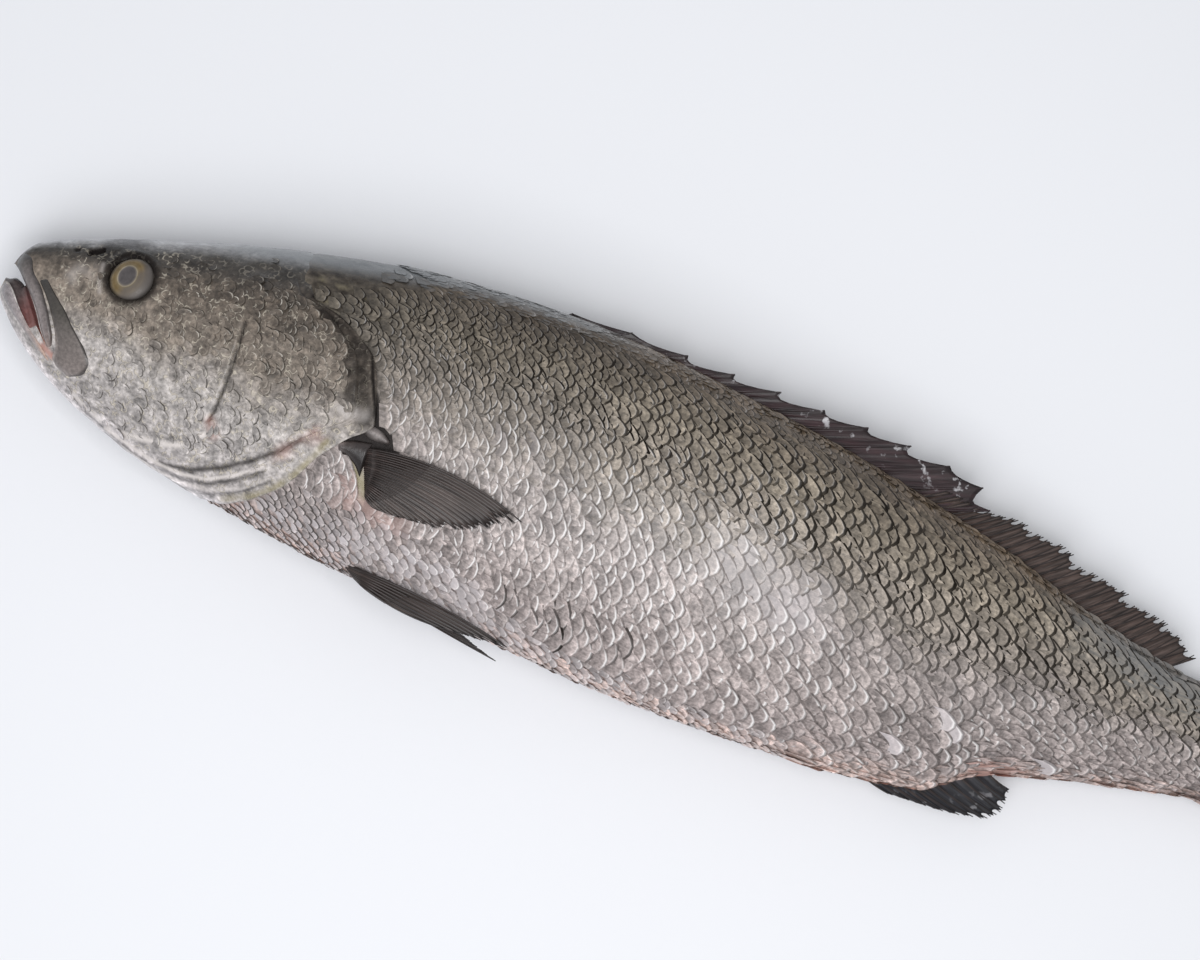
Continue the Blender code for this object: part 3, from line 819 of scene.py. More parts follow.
def lining_material():
    """The mouth's lining: wet flesh, dark towards the tip and red further in."""
    made, tree, shader = start_material("Wet mouth lining")
    place = add_node(tree, "ShaderNodeTexCoord").outputs["Object"]
    along = add_node(tree, "ShaderNodeSeparateXYZ", {"Vector": place}).outputs["X"]
    first, last = ((s + SHIFT[0]) * MM for s in LINING_REACH)
    links = {"Value": along, "From Min": first, "From Max": last}
    share = add_node(tree, "ShaderNodeMapRange", links).outputs["Result"]
    stops = (
        (0.0, "#4a4442"), (0.3, "#5d5352"), (0.48, "#7a5350"), (0.72, "#7e5650"), (0.88, "#b07a66"),
        (1.0, "#dcae98"),
    )
    grain = ramp(tree, object_noise(tree, 2.0), ((0.3, 0.75), (0.7, 1.2)))
    colour = mixed(tree, 1.0, ramp(tree, share, stops), grain, "MULTIPLY")
    tree.links.new(colour, shader.inputs["Base Color"])
    wet(shader, 0.35, 0.6)
    bump(tree, shader, object_noise(tree, 1.5), 0.3)
    return made


head_finish = skin_material(
    "Fish skin, head", HEAD_TO_THROAT, HEAD_MASK_COLOURS, curls=HEAD_CURL_SIZE,
)
trunk_finish = skin_material("Fish skin, trunk", BACK_TO_KEEL, TRUNK_MASK_COLOURS)
head.data.materials.append(head_finish)
cut_mouth(lining_material())
print("head after the mouth:", len(head.data.polygons), "faces")

# %% [markdown]
# ## Marks on the head
# The colours that don't follow the girth are painted by rule, each as a stored number: the black
# soft edge of the gill cover, a yellow line where the gill membrane ends, pink where the blood
# shows through, painted shade in the grooves under the folds, along the cheek's edge and in the
# nostrils, and pale rims on the folds and the cheek's corner and a pale tip of the gill cover,
# which are painted highlights.

# %% Paint the head
GILL_BLACK = [
    (117, 31), (128, 28.5), (139, 25), (147, 19), (151, 10), (156, 0), (160, -8), (152, -9), (146, -4),
    (141, 3), (139, 11), (135, 18), (126, 22), (118, 26),
]
GILL_BLACK_REAR = GILL_BLACK[:7]
BLOODY_MEMBRANE = ((127, -31), (134, -24), (140, -17))
CHEEK_BRUISE = ((98, -29), (101, -33))
MOUTH_CORNER = ((23.5, -26.5), (28.5, -29.0))
PALE_SNOUT = ((26, 4.5), (31, 8.0))
EYE_FRONT = ((34.5, 12), (36, 5.5), (38, 1.5))
STRAW_LINE = ((143.5, -19), (140, -28), (136, -36), (130, -44), (123, -50), (112, -56))
PALE_COVER_TIP = ((139, -8.5), (146, -5.5), (152, -4.0))


def soft_inside(outline, s, t, blur):
    """1 well inside an outline, 0 well outside it."""
    gap = distance_to(outline + outline[:1], s, t)
    return ease(0.5 + 0.5 * np.where(inside(outline, s, t), 1, -1) * gap / blur)


def strongest(*layers):
    """The greatest of several layers of paint at each vertex."""
    return np.max(layers, axis=0)


def paint_head():
    """Stores the marks of the head: how dark, rosy, straw-coloured and pale each vertex is."""
    points = fish_points(head)
    s, t, z = points.T
    rough = wobble(s, t, z, 7.0, 11)
    from_eye = np.hypot(s - EYE_PLACE[0], t - EYE_PLACE[1])
    # Painted shade in the grooves under the folds of the gill cover and the jaws, and along the chin's
    # fold.
    folds_dark = strongest(
        0.8 * near(COVER_FOLD, s, t + 1.6, 2.0),
        0.62 * near(JAW_FOLD, s, t + 2.1, 1.5),
        0.55 * near(LOWER_FOLD, s, t + 1.9, 1.5),
        0.55 * near(CHIN_FOLD, s, t, 1.2),
    )
    # dark: the gill cover's own black edge and the dark round the eye, with painted shade along the
    # cheek's edge and in the nostrils.
    dark = strongest(
        (0.76 + 0.16 * rough) * soft_inside(GILL_BLACK, s + 2.2 * rough, t, 2.6),
        near(GILL_BLACK_REAR, s, t, 2.4),
        0.9 * near(CHEEK_EDGE[1:6], s + 0.3, t, 1.3),
        folds_dark,
        np.minimum(1.0, 1.8 * near(NOSTRIL, s, t, 2.0)),
        0.9 * near(SMALL_NOSTRIL, s, t, 1.6),
        0.9 * (1 - ease((from_eye - 9.6) / 4.2)),
        0.55 * (1 - ease((np.hypot(s - 40, t - 19) - 6) / 8)),
    )
    rose = strongest(
        (0.20 + 0.22 * rough) * near(BLOODY_MEMBRANE, s, t, 5.5),
        0.35 * near(CHEEK_BRUISE, s, t, 4.0),
        0.8 * near(MOUTH_CORNER, s, t, 2.2),
    )
    straw = (0.55 + 0.25 * rough) * near(STRAW_LINE, s, t, 2.4)
    # pale: painted highlights on the folds, the cheek's corner and the gill cover's tip, and pale skin on
    # the snout and before the eye.
    pale = strongest(
        0.8 * near(JAW_FOLD, s, t, 1.2) + 0.55 * near(LOWER_FOLD, s, t, 1.1),
        0.9 * near(CHEEK_CORNER, s, t, 1.9),
        0.7 * near(CHIN_FOLD[:3], s, t - 1.6, 1.5),
        (0.42 + 0.5 * rough) * near(PALE_COVER_TIP, s, t, 4.6),
        0.35 * near(PALE_SNOUT, s, t, 6.5) * (0.6 + 0.6 * rough),
        0.3 * near(EYE_FRONT, s, t, 1.6),
    )
    girth = girth_of(points)
    store(head, "girth", girth)
    store(head, "light", head_light(s, girth))
    store(head, "patchy", calm_crown(girth))
    store(head, "slate", slate_ridge(s, girth))
    sides = (0.15 + 0.85 * ease((girth - 0.16) / 0.06)) * (1 - ease((girth - 0.84) / 0.06))
    crown = ease((s - 50) / 30) * (1 - ease((girth - 0.26) / 0.10))
    store(head, "bare", sides * ease((s - 14) / 8) * (1 - 0.7 * crown))
    for name, values in (("dark", dark), ("rose", rose), ("straw", straw), ("pale", pale)):
        store(head, name, np.clip(values, 0, 1))


paint_head()
hand_over(head)

# %% [markdown]
# ## The trunk under the scales
# Behind the gills the body is one loft. It starts hidden under the gill membrane, as the real
# shoulder does, and it is the skin that shows between and under the scales, darkened there for
# dark pigment and painted shade. On the ridge of the nape, where the scales lie under thick skin,
# it shows bare.

# %% Build the trunk
TRUNK_RINGS = 210
TRUNK_SIDES = 150
TRUNK_LAP = 5.0
TRUNK_SUNK = 0.9


def covered(s, girth):
    """How thickly scales cover the skin: bare on the ridge of the back, more so at the nape."""
    bare = 0.055 + 0.085 * (1 - ease((s - 190) / 130)) + 0.10 * (1 - ease((s - 118) / 60))
    return ease((girth - bare) / 0.05)


def build_trunk():
    angle = np.arange(TRUNK_SIDES) * 360 / TRUNK_SIDES
    start = membrane_edge(np.minimum(angle, 360 - angle)) - TRUNK_LAP
    end = STANDARD_LENGTH * 1.02
    v = np.linspace(0, 1, TRUNK_RINGS + 1)[:, None]
    s = start + (end - start) * v - (start - 135) * v * (1 - v)
    angle = angle * np.ones_like(s)
    girth = np.minimum(angle, 360 - angle) / 180
    lap = 1 - ease((s - start) / TRUNK_LAP)
    lift = -TRUNK_SUNK * np.maximum(covered(s, girth), lap)
    return closed_tube("trunk_skin", skin_point(s, angle, lift))


AXIL_BLACK = [
    (144, 6), (155, 6), (164, -4), (175, -11.5), (168, -15), (158, -19), (150, -23), (144, -20),
]
PALE_FOLD = ((184, -60.5), (205, -59.5), (238, -61.5))
NAPE_SPOTS = ((116, 35), (132, 34), (150, 38))
FIN_BRUISE = ((157, -35), (175, -38))
FIN_STRAW = ((156, -25), (164, -31))


def paint_trunk(trunk):
    """The same for the trunk, whose skin is darker where scales cover it: dark pigment and painted shade
    under them.
    """
    points = fish_points(trunk)
    s, t, z = points.T
    girth = girth_of(points)
    rough = wobble(s, t, z, 5.0, 17)
    nape = (1 - ease((s - 150) / 30)) * (1 - ease((girth - 0.33) / 0.04))
    # bed: darker under the scales, dark pigment and painted shade of the scales over it.
    bed = 0.62 * covered(s, girth) * (1 - 0.5 * ease((girth - 0.4) / 0.2))
    spots = np.clip(-0.8 * rough, 0, 0.35) * near(NAPE_SPOTS, s, t, 8.0)
    # Slate on the nape, lightened as a painted sheen like the ridge's.
    nape_slate = 0.45 * (1 - ease((s - 114) / 34)) * (1 - ease((girth - 0.13) / 0.08))
    layers = {
        "girth": girth,
        "light": trunk_light(s, girth),
        "dark": strongest(
            bed * (s > 178), 0.96 * soft_inside(AXIL_BLACK, s, t, 1.6),
            nape * np.clip(0.35 + 0.5 * rough, 0, 0.8),
        ),
        "rose": strongest(0.35 * near(FIN_BRUISE, s, t, 5.5), 0.5 * ease((girth - 0.93) / 0.06)),
        "straw": strongest(0.75 * near(FIN_STRAW, s, t, 6.0), spots),
        "pale": 0.6 * near(PALE_FOLD, s, t, 3.0),
        "slate": strongest(slate_ridge(s, girth), nape_slate),
        "patchy": calm_crown(girth),
    }
    for name, values in layers.items():
        store(trunk, name, values)


trunk = build_trunk()
paint_trunk(trunk)
trunk.data.materials.append(trunk_finish)
hand_over(trunk)

# %% [markdown]
# ## The scale as a tile
# A meagre's scales lie like roof tiles: each is rooted in the skin in front and its free rear
# edge covers the roots of the next ones. One tile is drawn once, a leaf-shaped plate a unit long
# and a unit high, crowned, thickest at its free edge, with a short slope down to the next scale.
# Down the flank each scale sits a little further back than the one above, so the tile leans too.

# %% One scale
TILE_COLUMNS = (-1.0, -0.92, -0.75, -0.45, 0.0, 0.45, 0.75, 0.92, 1.0)
TILE_ROWS = ((0.0, 1.0, 0.36), (0.2, 1.0, 1.0), (0.3, 0.93, 1.0), (0.6, 0.62, 0.50), (1.0, 0.0, -1.0))
TILE_LEAN = 0.46
TILE_SLOPE = 0.08
TILE_ROUNDNESS = 0.36


def scale_tile(name, mirrored):
    """A unit scale along +X, outside +Z. edge is 0 at the foot of its free edge, 0.2 at the top.

    across runs from 0 on the belly's side to 1 on the back's."""
    points, edges, maps = [], [], []
    lean = TILE_LEAN if mirrored else -TILE_LEAN
    for edge, reach, height in TILE_ROWS:
        for v in TILE_COLUMNS:
            free_edge = 1 - TILE_ROUNDNESS * abs(v) ** 1.7
            foot = TILE_SLOPE if edge == 0 else 0.0
            x = free_edge * reach + foot * (1 - 0.4 * abs(v)) + lean * v * 0.5
            spread = 1 + (0.07 if edge == 0 else 0.0)
            crown = 1 - 0.18 * v * v if edge > 0 else 1.0
            points.append((x, v * spread * 0.5, height * crown))
            edges.append(edge)
            maps.append((reach, 0.5 - 0.5 * v if mirrored else 0.5 + 0.5 * v))
    mesh = bpy.data.meshes.new(name)
    mesh.from_pydata(points, [], grid_faces(len(TILE_ROWS), len(TILE_COLUMNS)))
    mesh.shade_smooth()
    tile = bpy.data.objects.new(name, mesh)
    bpy.context.scene.collection.objects.link(tile)
    store(tile, "edge", edges)
    store(tile, "along", [m[0] for m in maps])
    store(tile, "across", [m[1] for m in maps])
    return tile


tiles = {lower: scale_tile(f"tile_{SIDE[lower]}", lower) for lower in (UPPER_SIDE, LOWER_SIDE)}
tile_faces = tiles[UPPER_SIDE].data.polygons
print("a scale has", sum(len(face.vertices) - 2 for face in tile_faces), "triangles")

# %% [markdown]
# ## Where the scales sit
# Scales grow in rows along the body. The rows keep a nearly constant distance over the skin, so
# they are laid out by arc length from the side's middle line, not by angle: near the tail there
# are fewer rows, and each scale is smaller. Every second row is set back by half a scale.

# %% Scale lattice
ROW_SPACING = (
    (100, 2.5), (160, 3.1), (200, 3.6), (250, 3.9), (310, 3.8), (380, 3.6), (450, 3.4),
    (520, 3.0), (560, 2.6),
)
SCALE_PITCH = (
    (100, 3.7), (160, 3.9), (200, 4.5), (250, 6.0), (310, 7.6), (350, 8.1), (400, 8.1), (460, 7.6),
    (520, 6.0), (560, 4.6),
)
LEAN_PER_ROW = 0.135
BELLY_GAIN = 0.28
GAIN_ROWS = 8.0
row_spacing = smooth_curve(ROW_SPACING)
scale_pitch = smooth_curve(SCALE_PITCH)
flank_jitter = smooth_curve(((100, 0.13), (170, 0.10), (240, 0.065), (300, 0.05), (560, 0.045)))


class ArcTable:
    """Arc length over the skin from the side's middle line, by place along the body."""

    def __init__(self):
        self.s = np.linspace(0, STANDARD_LENGTH * 1.02, 140)
        self.angle = np.linspace(0, 180, 181)
        points = skin_point(self.s[:, None], self.angle[None, :])
        steps = np.linalg.norm(np.diff(points[..., 1:], axis=1), axis=-1)
        total = np.concatenate([np.zeros((len(self.s), 1)), np.cumsum(steps, axis=1)], axis=1)
        self.up = total[:, 90:91] - total

    def angle_of(self, s, w):
        """The angle at arc length w towards the back from the middle line; NaN beyond the keel."""
        found = np.empty(len(s))
        place = np.interp(s, self.s, np.arange(len(self.s)))
        for i, (p, distance) in enumerate(zip(place, w)):
            k = min(int(p), len(self.s) - 2)
            row = self.up[k] * (k + 1 - p) + self.up[k + 1] * (p - k)
            inside_range = row[-1] < distance < row[0]
            found[i] = np.interp(-distance, -row, self.angle) if inside_range else np.nan
        return found


arcs = ArcTable()


def lattice(pitch, spacing, rows, first, last, seed, jitter):
    """Places (s, angle) of a leaning lattice of scales on one side of the body, and its row gaps.

    In front the rows are closer over the back and wider over the belly. jitter is a rule over s."""
    draw = np.random.default_rng(seed)
    fine = np.arange(first - 60.0, last + 60.0, 0.5)
    turns = np.cumsum(0.5 / pitch(fine))
    row = np.arange(-rows, rows + 1)[:, None]
    column = np.arange(0, int(turns[-1]) + 2)[None, :]
    index = (column + 0.5 * (row % 2) - LEAN_PER_ROW * row).ravel()
    s = np.interp(index, turns, fine, left=-1e3, right=1e3)
    kept = (s > first) & (s < last)
    s, row = s[kept], np.broadcast_to(row, (len(row), column.size)).ravel()[kept]
    gain = BELLY_GAIN * (1 - ease((s - 270) / 80))
    spread = row - gain * GAIN_ROWS * np.log(np.cosh(row / GAIN_ROWS))
    gap = spacing(s) * (1 - gain * np.tanh(row / GAIN_ROWS))
    w = spread * spacing(s) + draw.normal(0, 1, len(s)) * jitter(s) * gap
    s = s + draw.normal(0, 1, len(s)) * jitter(s) * pitch(s)
    angle = arcs.angle_of(s, w)
    real = np.isfinite(angle)
    return s[real], angle[real], gap[real]



# %% [markdown]
# ## Scales by Geometry Nodes
# Thousands of tiles are a job for instances. A bed of bare points carries, for each scale, which
# way is rearward and outward and how long and high it is; the tree turns a tile to those axes,
# tilts it a little at random, gives it a random tone, and realizes the lot as one mesh. Placing
# each by hand or by a particle system would be slower, and the export would lose particles.

# %% The scale tree
TIP_SHARE = 0.22


def make_tree(name, inputs):
    """A Geometry Nodes tree with a geometry input and named inputs, and its two end nodes."""
    tree = bpy.data.node_groups.new(name, "GeometryNodeTree")
    tree.interface.new_socket("Geometry", in_out="INPUT", socket_type="NodeSocketGeometry")
    for label, kind in inputs:
        tree.interface.new_socket(label, in_out="INPUT", socket_type=kind)
    tree.interface.new_socket("Geometry", in_out="OUTPUT", socket_type="NodeSocketGeometry")
    return tree, add_node(tree, "NodeGroupInput").outputs, add_node(tree, "NodeGroupOutput")


def stored_vector(tree, name):
    made = add_node(tree, "GeometryNodeInputNamedAttribute", data_type="FLOAT_VECTOR")
    made.inputs["Name"].default_value = name
    return made.outputs["Attribute"]


def scale_tree():
    tree, given, end = make_tree("Scales on a bed", (
        ("Tile", "NodeSocketObject"), ("Tilt", "NodeSocketFloat"),
        ("Unevenness", "NodeSocketFloat"), ("Seed", "NodeSocketInt"),
        ("Finish", "NodeSocketMaterial"),
    ))
    tile = add_node(tree, "GeometryNodeObjectInfo", {"Object": given["Tile"]})
    axes = add_node(tree, "FunctionNodeAxesToRotation", primary_axis="Z", secondary_axis="X")
    tree.links.new(stored_vector(tree, "outward"), axes.inputs[0])
    tree.links.new(stored_vector(tree, "rearward"), axes.inputs[1])
    least = maths(tree, "MULTIPLY", given["Tilt"], -1.0)
    tilt = add_node(tree, "FunctionNodeRandomValue", data_type="FLOAT_VECTOR")
    tree.links.new(least, tilt.inputs[0])
    tree.links.new(given["Tilt"], tilt.inputs[1])
    tree.links.new(given["Seed"], tilt.inputs["Seed"])
    mostly_turned = vector_maths(tree, "MULTIPLY", tilt.outputs[0], (TIP_SHARE, TIP_SHARE, 1.0))
    turn = add_node(tree, "FunctionNodeEulerToRotation", {0: mostly_turned})
    links = {"Rotation": axes.outputs[0], "Rotate By": turn.outputs[0]}
    turned = add_node(tree, "FunctionNodeRotateRotation", links, rotation_space="LOCAL")
    low = maths(tree, "SUBTRACT", 1.0, given["Unevenness"])
    high = maths(tree, "ADD", 1.0, given["Unevenness"])
    uneven = add_node(tree, "FunctionNodeRandomValue", data_type="FLOAT_VECTOR")
    tree.links.new(low, uneven.inputs[0])
    tree.links.new(high, uneven.inputs[1])
    tree.links.new(given["Seed"], uneven.inputs["Seed"])
    size = vector_maths(tree, "MULTIPLY", stored_vector(tree, "size"), uneven.outputs[0])
    links = {
        "Points": given["Geometry"], "Instance": tile.outputs["Geometry"],
        "Rotation": turned.outputs[0], "Scale": size,
    }
    placed = add_node(tree, "GeometryNodeInstanceOnPoints", links)
    tone = add_node(tree, "FunctionNodeRandomValue", data_type="FLOAT")
    tree.links.new(given["Seed"], tone.inputs["Seed"])
    toned = add_node(
        tree, "GeometryNodeStoreNamedAttribute", {"Geometry": placed.outputs[0], "Name": "tone"},
        data_type="FLOAT", domain="INSTANCE",
    )
    tree.links.new(tone.outputs[1], toned.inputs["Value"])
    real = add_node(tree, "GeometryNodeRealizeInstances", {"Geometry": toned.outputs[0]})
    links = {"Geometry": real.outputs[0], "Material": given["Finish"]}
    finished = add_node(tree, "GeometryNodeSetMaterial", links)
    tree.links.new(finished.outputs[0], end.inputs[0])
    return tree


def set_inputs(modifier, values):
    """Sets a tree's named inputs through their identifiers."""
    for item in modifier.node_group.interface.items_tree:
        if item.in_out == "INPUT" and item.name in values:
            modifier[item.identifier] = values[item.name]


SCALE_TREE = scale_tree()
print("scale tree:", len(SCALE_TREE.nodes), "nodes")

# %% [markdown]
# ## Beds and grown scales
# A bed point starts at its place on the smooth body and is moved to the nearest point of
# the skin piece itself, so that scales follow its folds. The grown mesh is then pressed flat where
# the fish lies on its lower side, like the flesh under it.

# %% Grow scales on a bed
def skin_tree(obj):
    return BVHTree.FromObject(obj, bpy.context.evaluated_depsgraph_get())


def unit(vectors):
    return vectors / np.maximum(np.linalg.norm(vectors, axis=-1, keepdims=True), 1e-9)


def grow_scales(
    name, surface, s, angle, lower, numbers, size, finish, tilt, unevenness, seed, above, loose=0.0,
    light=trunk_light,
):
    """Scales at places (s, angle) of one side, above millimetres over the surface.

    numbers are stored at each scale, by name. loose turns scales out of line, in radians."""
    around = 360 - angle if lower else angle
    nominal = skin_point(s, around)
    rearward = unit(skin_point(s + 1.0, around) - skin_point(s - 1.0, around))
    outward, places = np.empty_like(nominal), np.empty_like(nominal)
    for i, point in enumerate(nominal):
        at, normal, _, _ = surface.find_nearest(Vector(to_world(point)))
        places[i] = np.array(at) / MM - SHIFT
        outward[i] = normal
    places += outward * above
    turns = loose * np.random.default_rng(seed).normal(size=len(s))
    rearward = unit(rearward + np.cross(outward, rearward) * turns[:, None])
    bed = new_mesh_object(name, places, [])
    for label, values in (("rearward", rearward), ("outward", outward), ("size", size * MM)):
        store(bed, label, values)
    store(bed, "light", light(s, angle / 180))
    store(bed, "patchy", calm_crown(angle / 180))
    for label, values in numbers.items():
        store(bed, label, values)
    modifier = bed.modifiers.new("Scales", "NODES")
    modifier.node_group = SCALE_TREE
    set_inputs(modifier, {
        "Tile": tiles[lower], "Tilt": math.radians(tilt), "Unevenness": unevenness,
        "Seed": seed, "Finish": finish,
    })
    apply_modifiers(bed)
    points = fish_points(bed)
    points[:, 2] = np.maximum(points[:, 2], 0.0)
    set_points(bed, points)
    return bed


# %% [markdown]
# ## What a scale looks like
# Each scale is a clear horny plate over silver, so it takes the colour of the skin round it, a
# little lighter or darker than its neighbours. Its free edge gets a pale line, a painted glint
# where it would catch the light, and the slope under the edge, where dark pigment and shadow sit,
# draws the dark net that one sees over the whole flank, in dark pigment and painted shadow. The
# root of each scale is darkened as painted shadow of the scale lying over it. Fine lines fan out
# over the plate.

# %% Scale material
SCALE_ROSE = "#cfa094"


def scale_material(
    name, stops, rim_colour, ink_colour, masks, hood=0.66, variety=0.26, mottle=0.28,
):
    """A wet scale with a painted glint on its free edge. More ink makes its dark rear edge, dark pigment
    and painted shadow, both darker and broader.

    hood is how light the root of a scale stays in the painted shadow of the scale over it, variety how
    much scales differ in tone."""
    made, tree, shader = start_material(name)
    base = girth_colour(tree, stops, 26.0, 1.5, mottle)
    tone = ramp(tree, stored(tree, "tone"), ((0.0, 1 - variety), (0.5, 1.0), (1.0, 1 + variety)))
    base = mixed(tree, 1.0, base, tone, "MULTIPLY")
    links = {"X": stored(tree, "along"), "Y": stored(tree, "across"), "Z": stored(tree, "tone")}
    plate = add_node(tree, "ShaderNodeCombineXYZ", links).outputs[0]
    links = {"Vector": plate, "Scale": (1.4, 22.0, 37.0)}
    fan_place = add_node(tree, "ShaderNodeMapping", links).outputs[0]
    fan = add_node(tree, "ShaderNodeTexNoise", {"Vector": fan_place, "Scale": 1.0}).outputs["Fac"]
    base = mixed(tree, 1.0, base, ramp(tree, fan, ((0.3, 0.86), (0.7, 1.12))), "MULTIPLY")
    # Painted shadow: each scale is darker at its root, under the scale over it, and a little lighter
    # towards its free edge.
    shadow = ((0.50, hood), (0.66, 0.4 + 0.6 * hood ** 0.5), (0.80, 1.0), (0.97, 1.14))
    hooded = ramp(tree, stored(tree, "along"), shadow)
    base = mixed(tree, 1.0, base, hooded, "MULTIPLY")
    base = with_masks(tree, base, masks)
    edge = stored(tree, "edge")
    # Painted glint: a pale line along the middle of the free edge, as strong as glint.
    rim = ramp(tree, edge, ((0.17, 0.0), (0.21, 1.0), (0.29, 0.9), (0.37, 0.0)))
    rim_width = ((0.08, 0.0), (0.25, 1.0), (0.62, 1.0), (0.85, 0.1))
    rim = mixed(tree, 1.0, rim, ramp(tree, stored(tree, "across"), rim_width), "MULTIPLY")
    bright = maths(tree, "MULTIPLY", rim, stored(tree, "glint"))
    base = mixed(tree, bright, base, srgb(rim_colour))
    # The dark net, dark pigment and painted shadow, on the slope under the free edge and just inside it; a
    # little weaker on the belly's side.
    spread = maths(tree, "MULTIPLY_ADD", stored(tree, "ink"), -0.10, edge)
    shade = ramp(tree, spread, ((0.17, 1.0), (0.205, 0.85), (0.235, 0.0)))
    ink_width = ((0.0, 0.88), (0.3, 1.0), (0.5, 1.0))
    shade = mixed(tree, 1.0, shade, ramp(tree, stored(tree, "across"), ink_width), "MULTIPLY")
    # The net is patchy at random.
    patchy_net = ramp(tree, object_noise(tree, 13.0), ((0.32, 0.88), (0.55, 1.0)))
    patchy_net = mixed(tree, 1.0, shade, patchy_net, "MULTIPLY")
    ink = maths(tree, "MULTIPLY", patchy_net, stored(tree, "ink"))
    base = mixed(tree, ink, base, srgb(ink_colour))
    tree.links.new(base, shader.inputs["Base Color"])
    wet(shader, 0.40, 0.30)
    dull_where(tree, shader, ink, GLOSS)
    bump(tree, shader, fan, 0.12)
    return made


# On the scales, pale is mostly a painted highlight: the sheen patch of the flank and bright, lifted
# scales.
scale_finish = scale_material(
    "Wet scales", BACK_TO_KEEL, "#f4f0ee", "#17130e",
    (("rose", SCALE_ROSE), ("pale", "#d9d2d4"), ("slate", SLATE)),
)
print("scale finish:", len(scale_finish.node_tree.nodes), "nodes")

# %% [markdown]
# ## Scales of the flank
# The lattice is thinned to where this fish shows scales: from the gill membrane to the root of
# the tail, below the small scales of the ridge. Two numbers set the look by region. Ink is strong over the
# back and the tail, where the net is dark, and weak on the silver shoulder, where
# lifted edges glint instead, as painted glints.

# %% Flank scales
RAISED_SCALES = (
    ((401, -30), (404, -33)), ((386, -48), (396, -50)), ((441, -35), (448, -35)),
    ((200, 8), (203, 2)), ((213, 12), (215, 6)),
)


FIN_ROOT_PINK = ((156, -34), (176, -39))
BELLY_PINK = ((246, -66), (282, -69))
VENT_PINK = ((424, -48), (438, -43.5))
# A patch of painted sheen on the wet middle of the flank.
FILM_SHEEN = ((300, 0), (318, -5), (330, -10))


def is_raised(s, t):
    """True for the few scales that were rubbed up and stand off the skin."""
    return np.max([near(line, s, t, 2.8) for line in RAISED_SCALES], axis=0) > 0.3


def belly_folds(s, t):
    """1 low on the belly behind the breast fin, where the slack skin stands in folds."""
    return ease((-42 - t) / 6) * ease((s - 195) / 15) * (1 - ease((s - 262) / 45))


def flank_numbers(s, angle, draw):
    """Stored numbers for flank scales: their place on the ramp, and how much of each mark."""
    girth = angle / 180
    t = skin_point(s, angle)[:, 1]
    rear = ease((s - 300) / 90)
    high_up = 1 - ease((girth - 0.36) / 0.16)
    low = ease((-4 - t) / 14)
    ink = np.clip(0.48 + 0.55 * high_up + 0.4 * rear * (1 - 0.6 * low), 0, 1)
    ink = ink * draw.uniform(0.90, 1.0, len(s))
    # glint: painted glints on the free edges, most on the shoulder and the lower flank.
    shoulder = (1 - ease((s - 300) / 60)) * (0.3 + 0.7 * ease((girth - 0.26) / 0.15))
    flash = draw.random(len(s)) ** 1.8
    glint = np.clip(0.10 + 1.3 * shoulder * flash + 0.8 * flash * (girth > 0.55), 0, 1)
    rose = strongest(
        0.30 * near(FIN_ROOT_PINK, s, t, 9) + 0.6 * near(BELLY_PINK, s, t, 7),
        0.7 * near(VENT_PINK, s, t, 6),
        0.4 * ease((girth - 0.95) / 0.04),
    )
    # film: painted highlight, a pale sheen on the wet mid-flank and on the raised scales.
    film = near(FILM_SHEEN, s, t, 22) * draw.uniform(0.15, 0.45, len(s))
    # On the belly's folds the dark net is painted shade and the bright rims painted glints.
    folds = belly_folds(s, t) * draw.uniform(0.4, 1.0, len(s))
    ink = np.maximum(ink, 0.98 * folds)
    lit = (draw.random(len(s)) > 0.88) * ease((-18 - t) / 12) * ease((s - 285) / 20)
    glint = np.maximum(glint, lit)
    glint = np.maximum(glint, folds * draw.uniform(0.3, 1.0, len(s)))
    glint = np.maximum(glint, is_raised(s, t))
    film = np.maximum(film, (0.15 + 0.35 * (s > 380)) * is_raised(s, t))
    return {
        "girth": girth, "ink": ink * (1 - 0.5 * film), "glint": glint, "rose": rose, "pale": film,
        "slate": slate_ridge(s, girth),
    }


SMALL_UNTIL = 352.0


def small_scale_zone(s, angle):
    """Where the scales are small: the breast, and a narrowing strip of the belly behind it."""
    t = skin_point(s, angle)[:, 1]
    return (t < -37 - 23 * ease((s - 172) / 90)) & (s < SMALL_UNTIL)


RIDGE_SCALES_UNTIL = 0.17
AXIL = [(140, 3), (154, 3), (162, -7), (170, -12), (172, -30), (160, -34), (146, -20)]


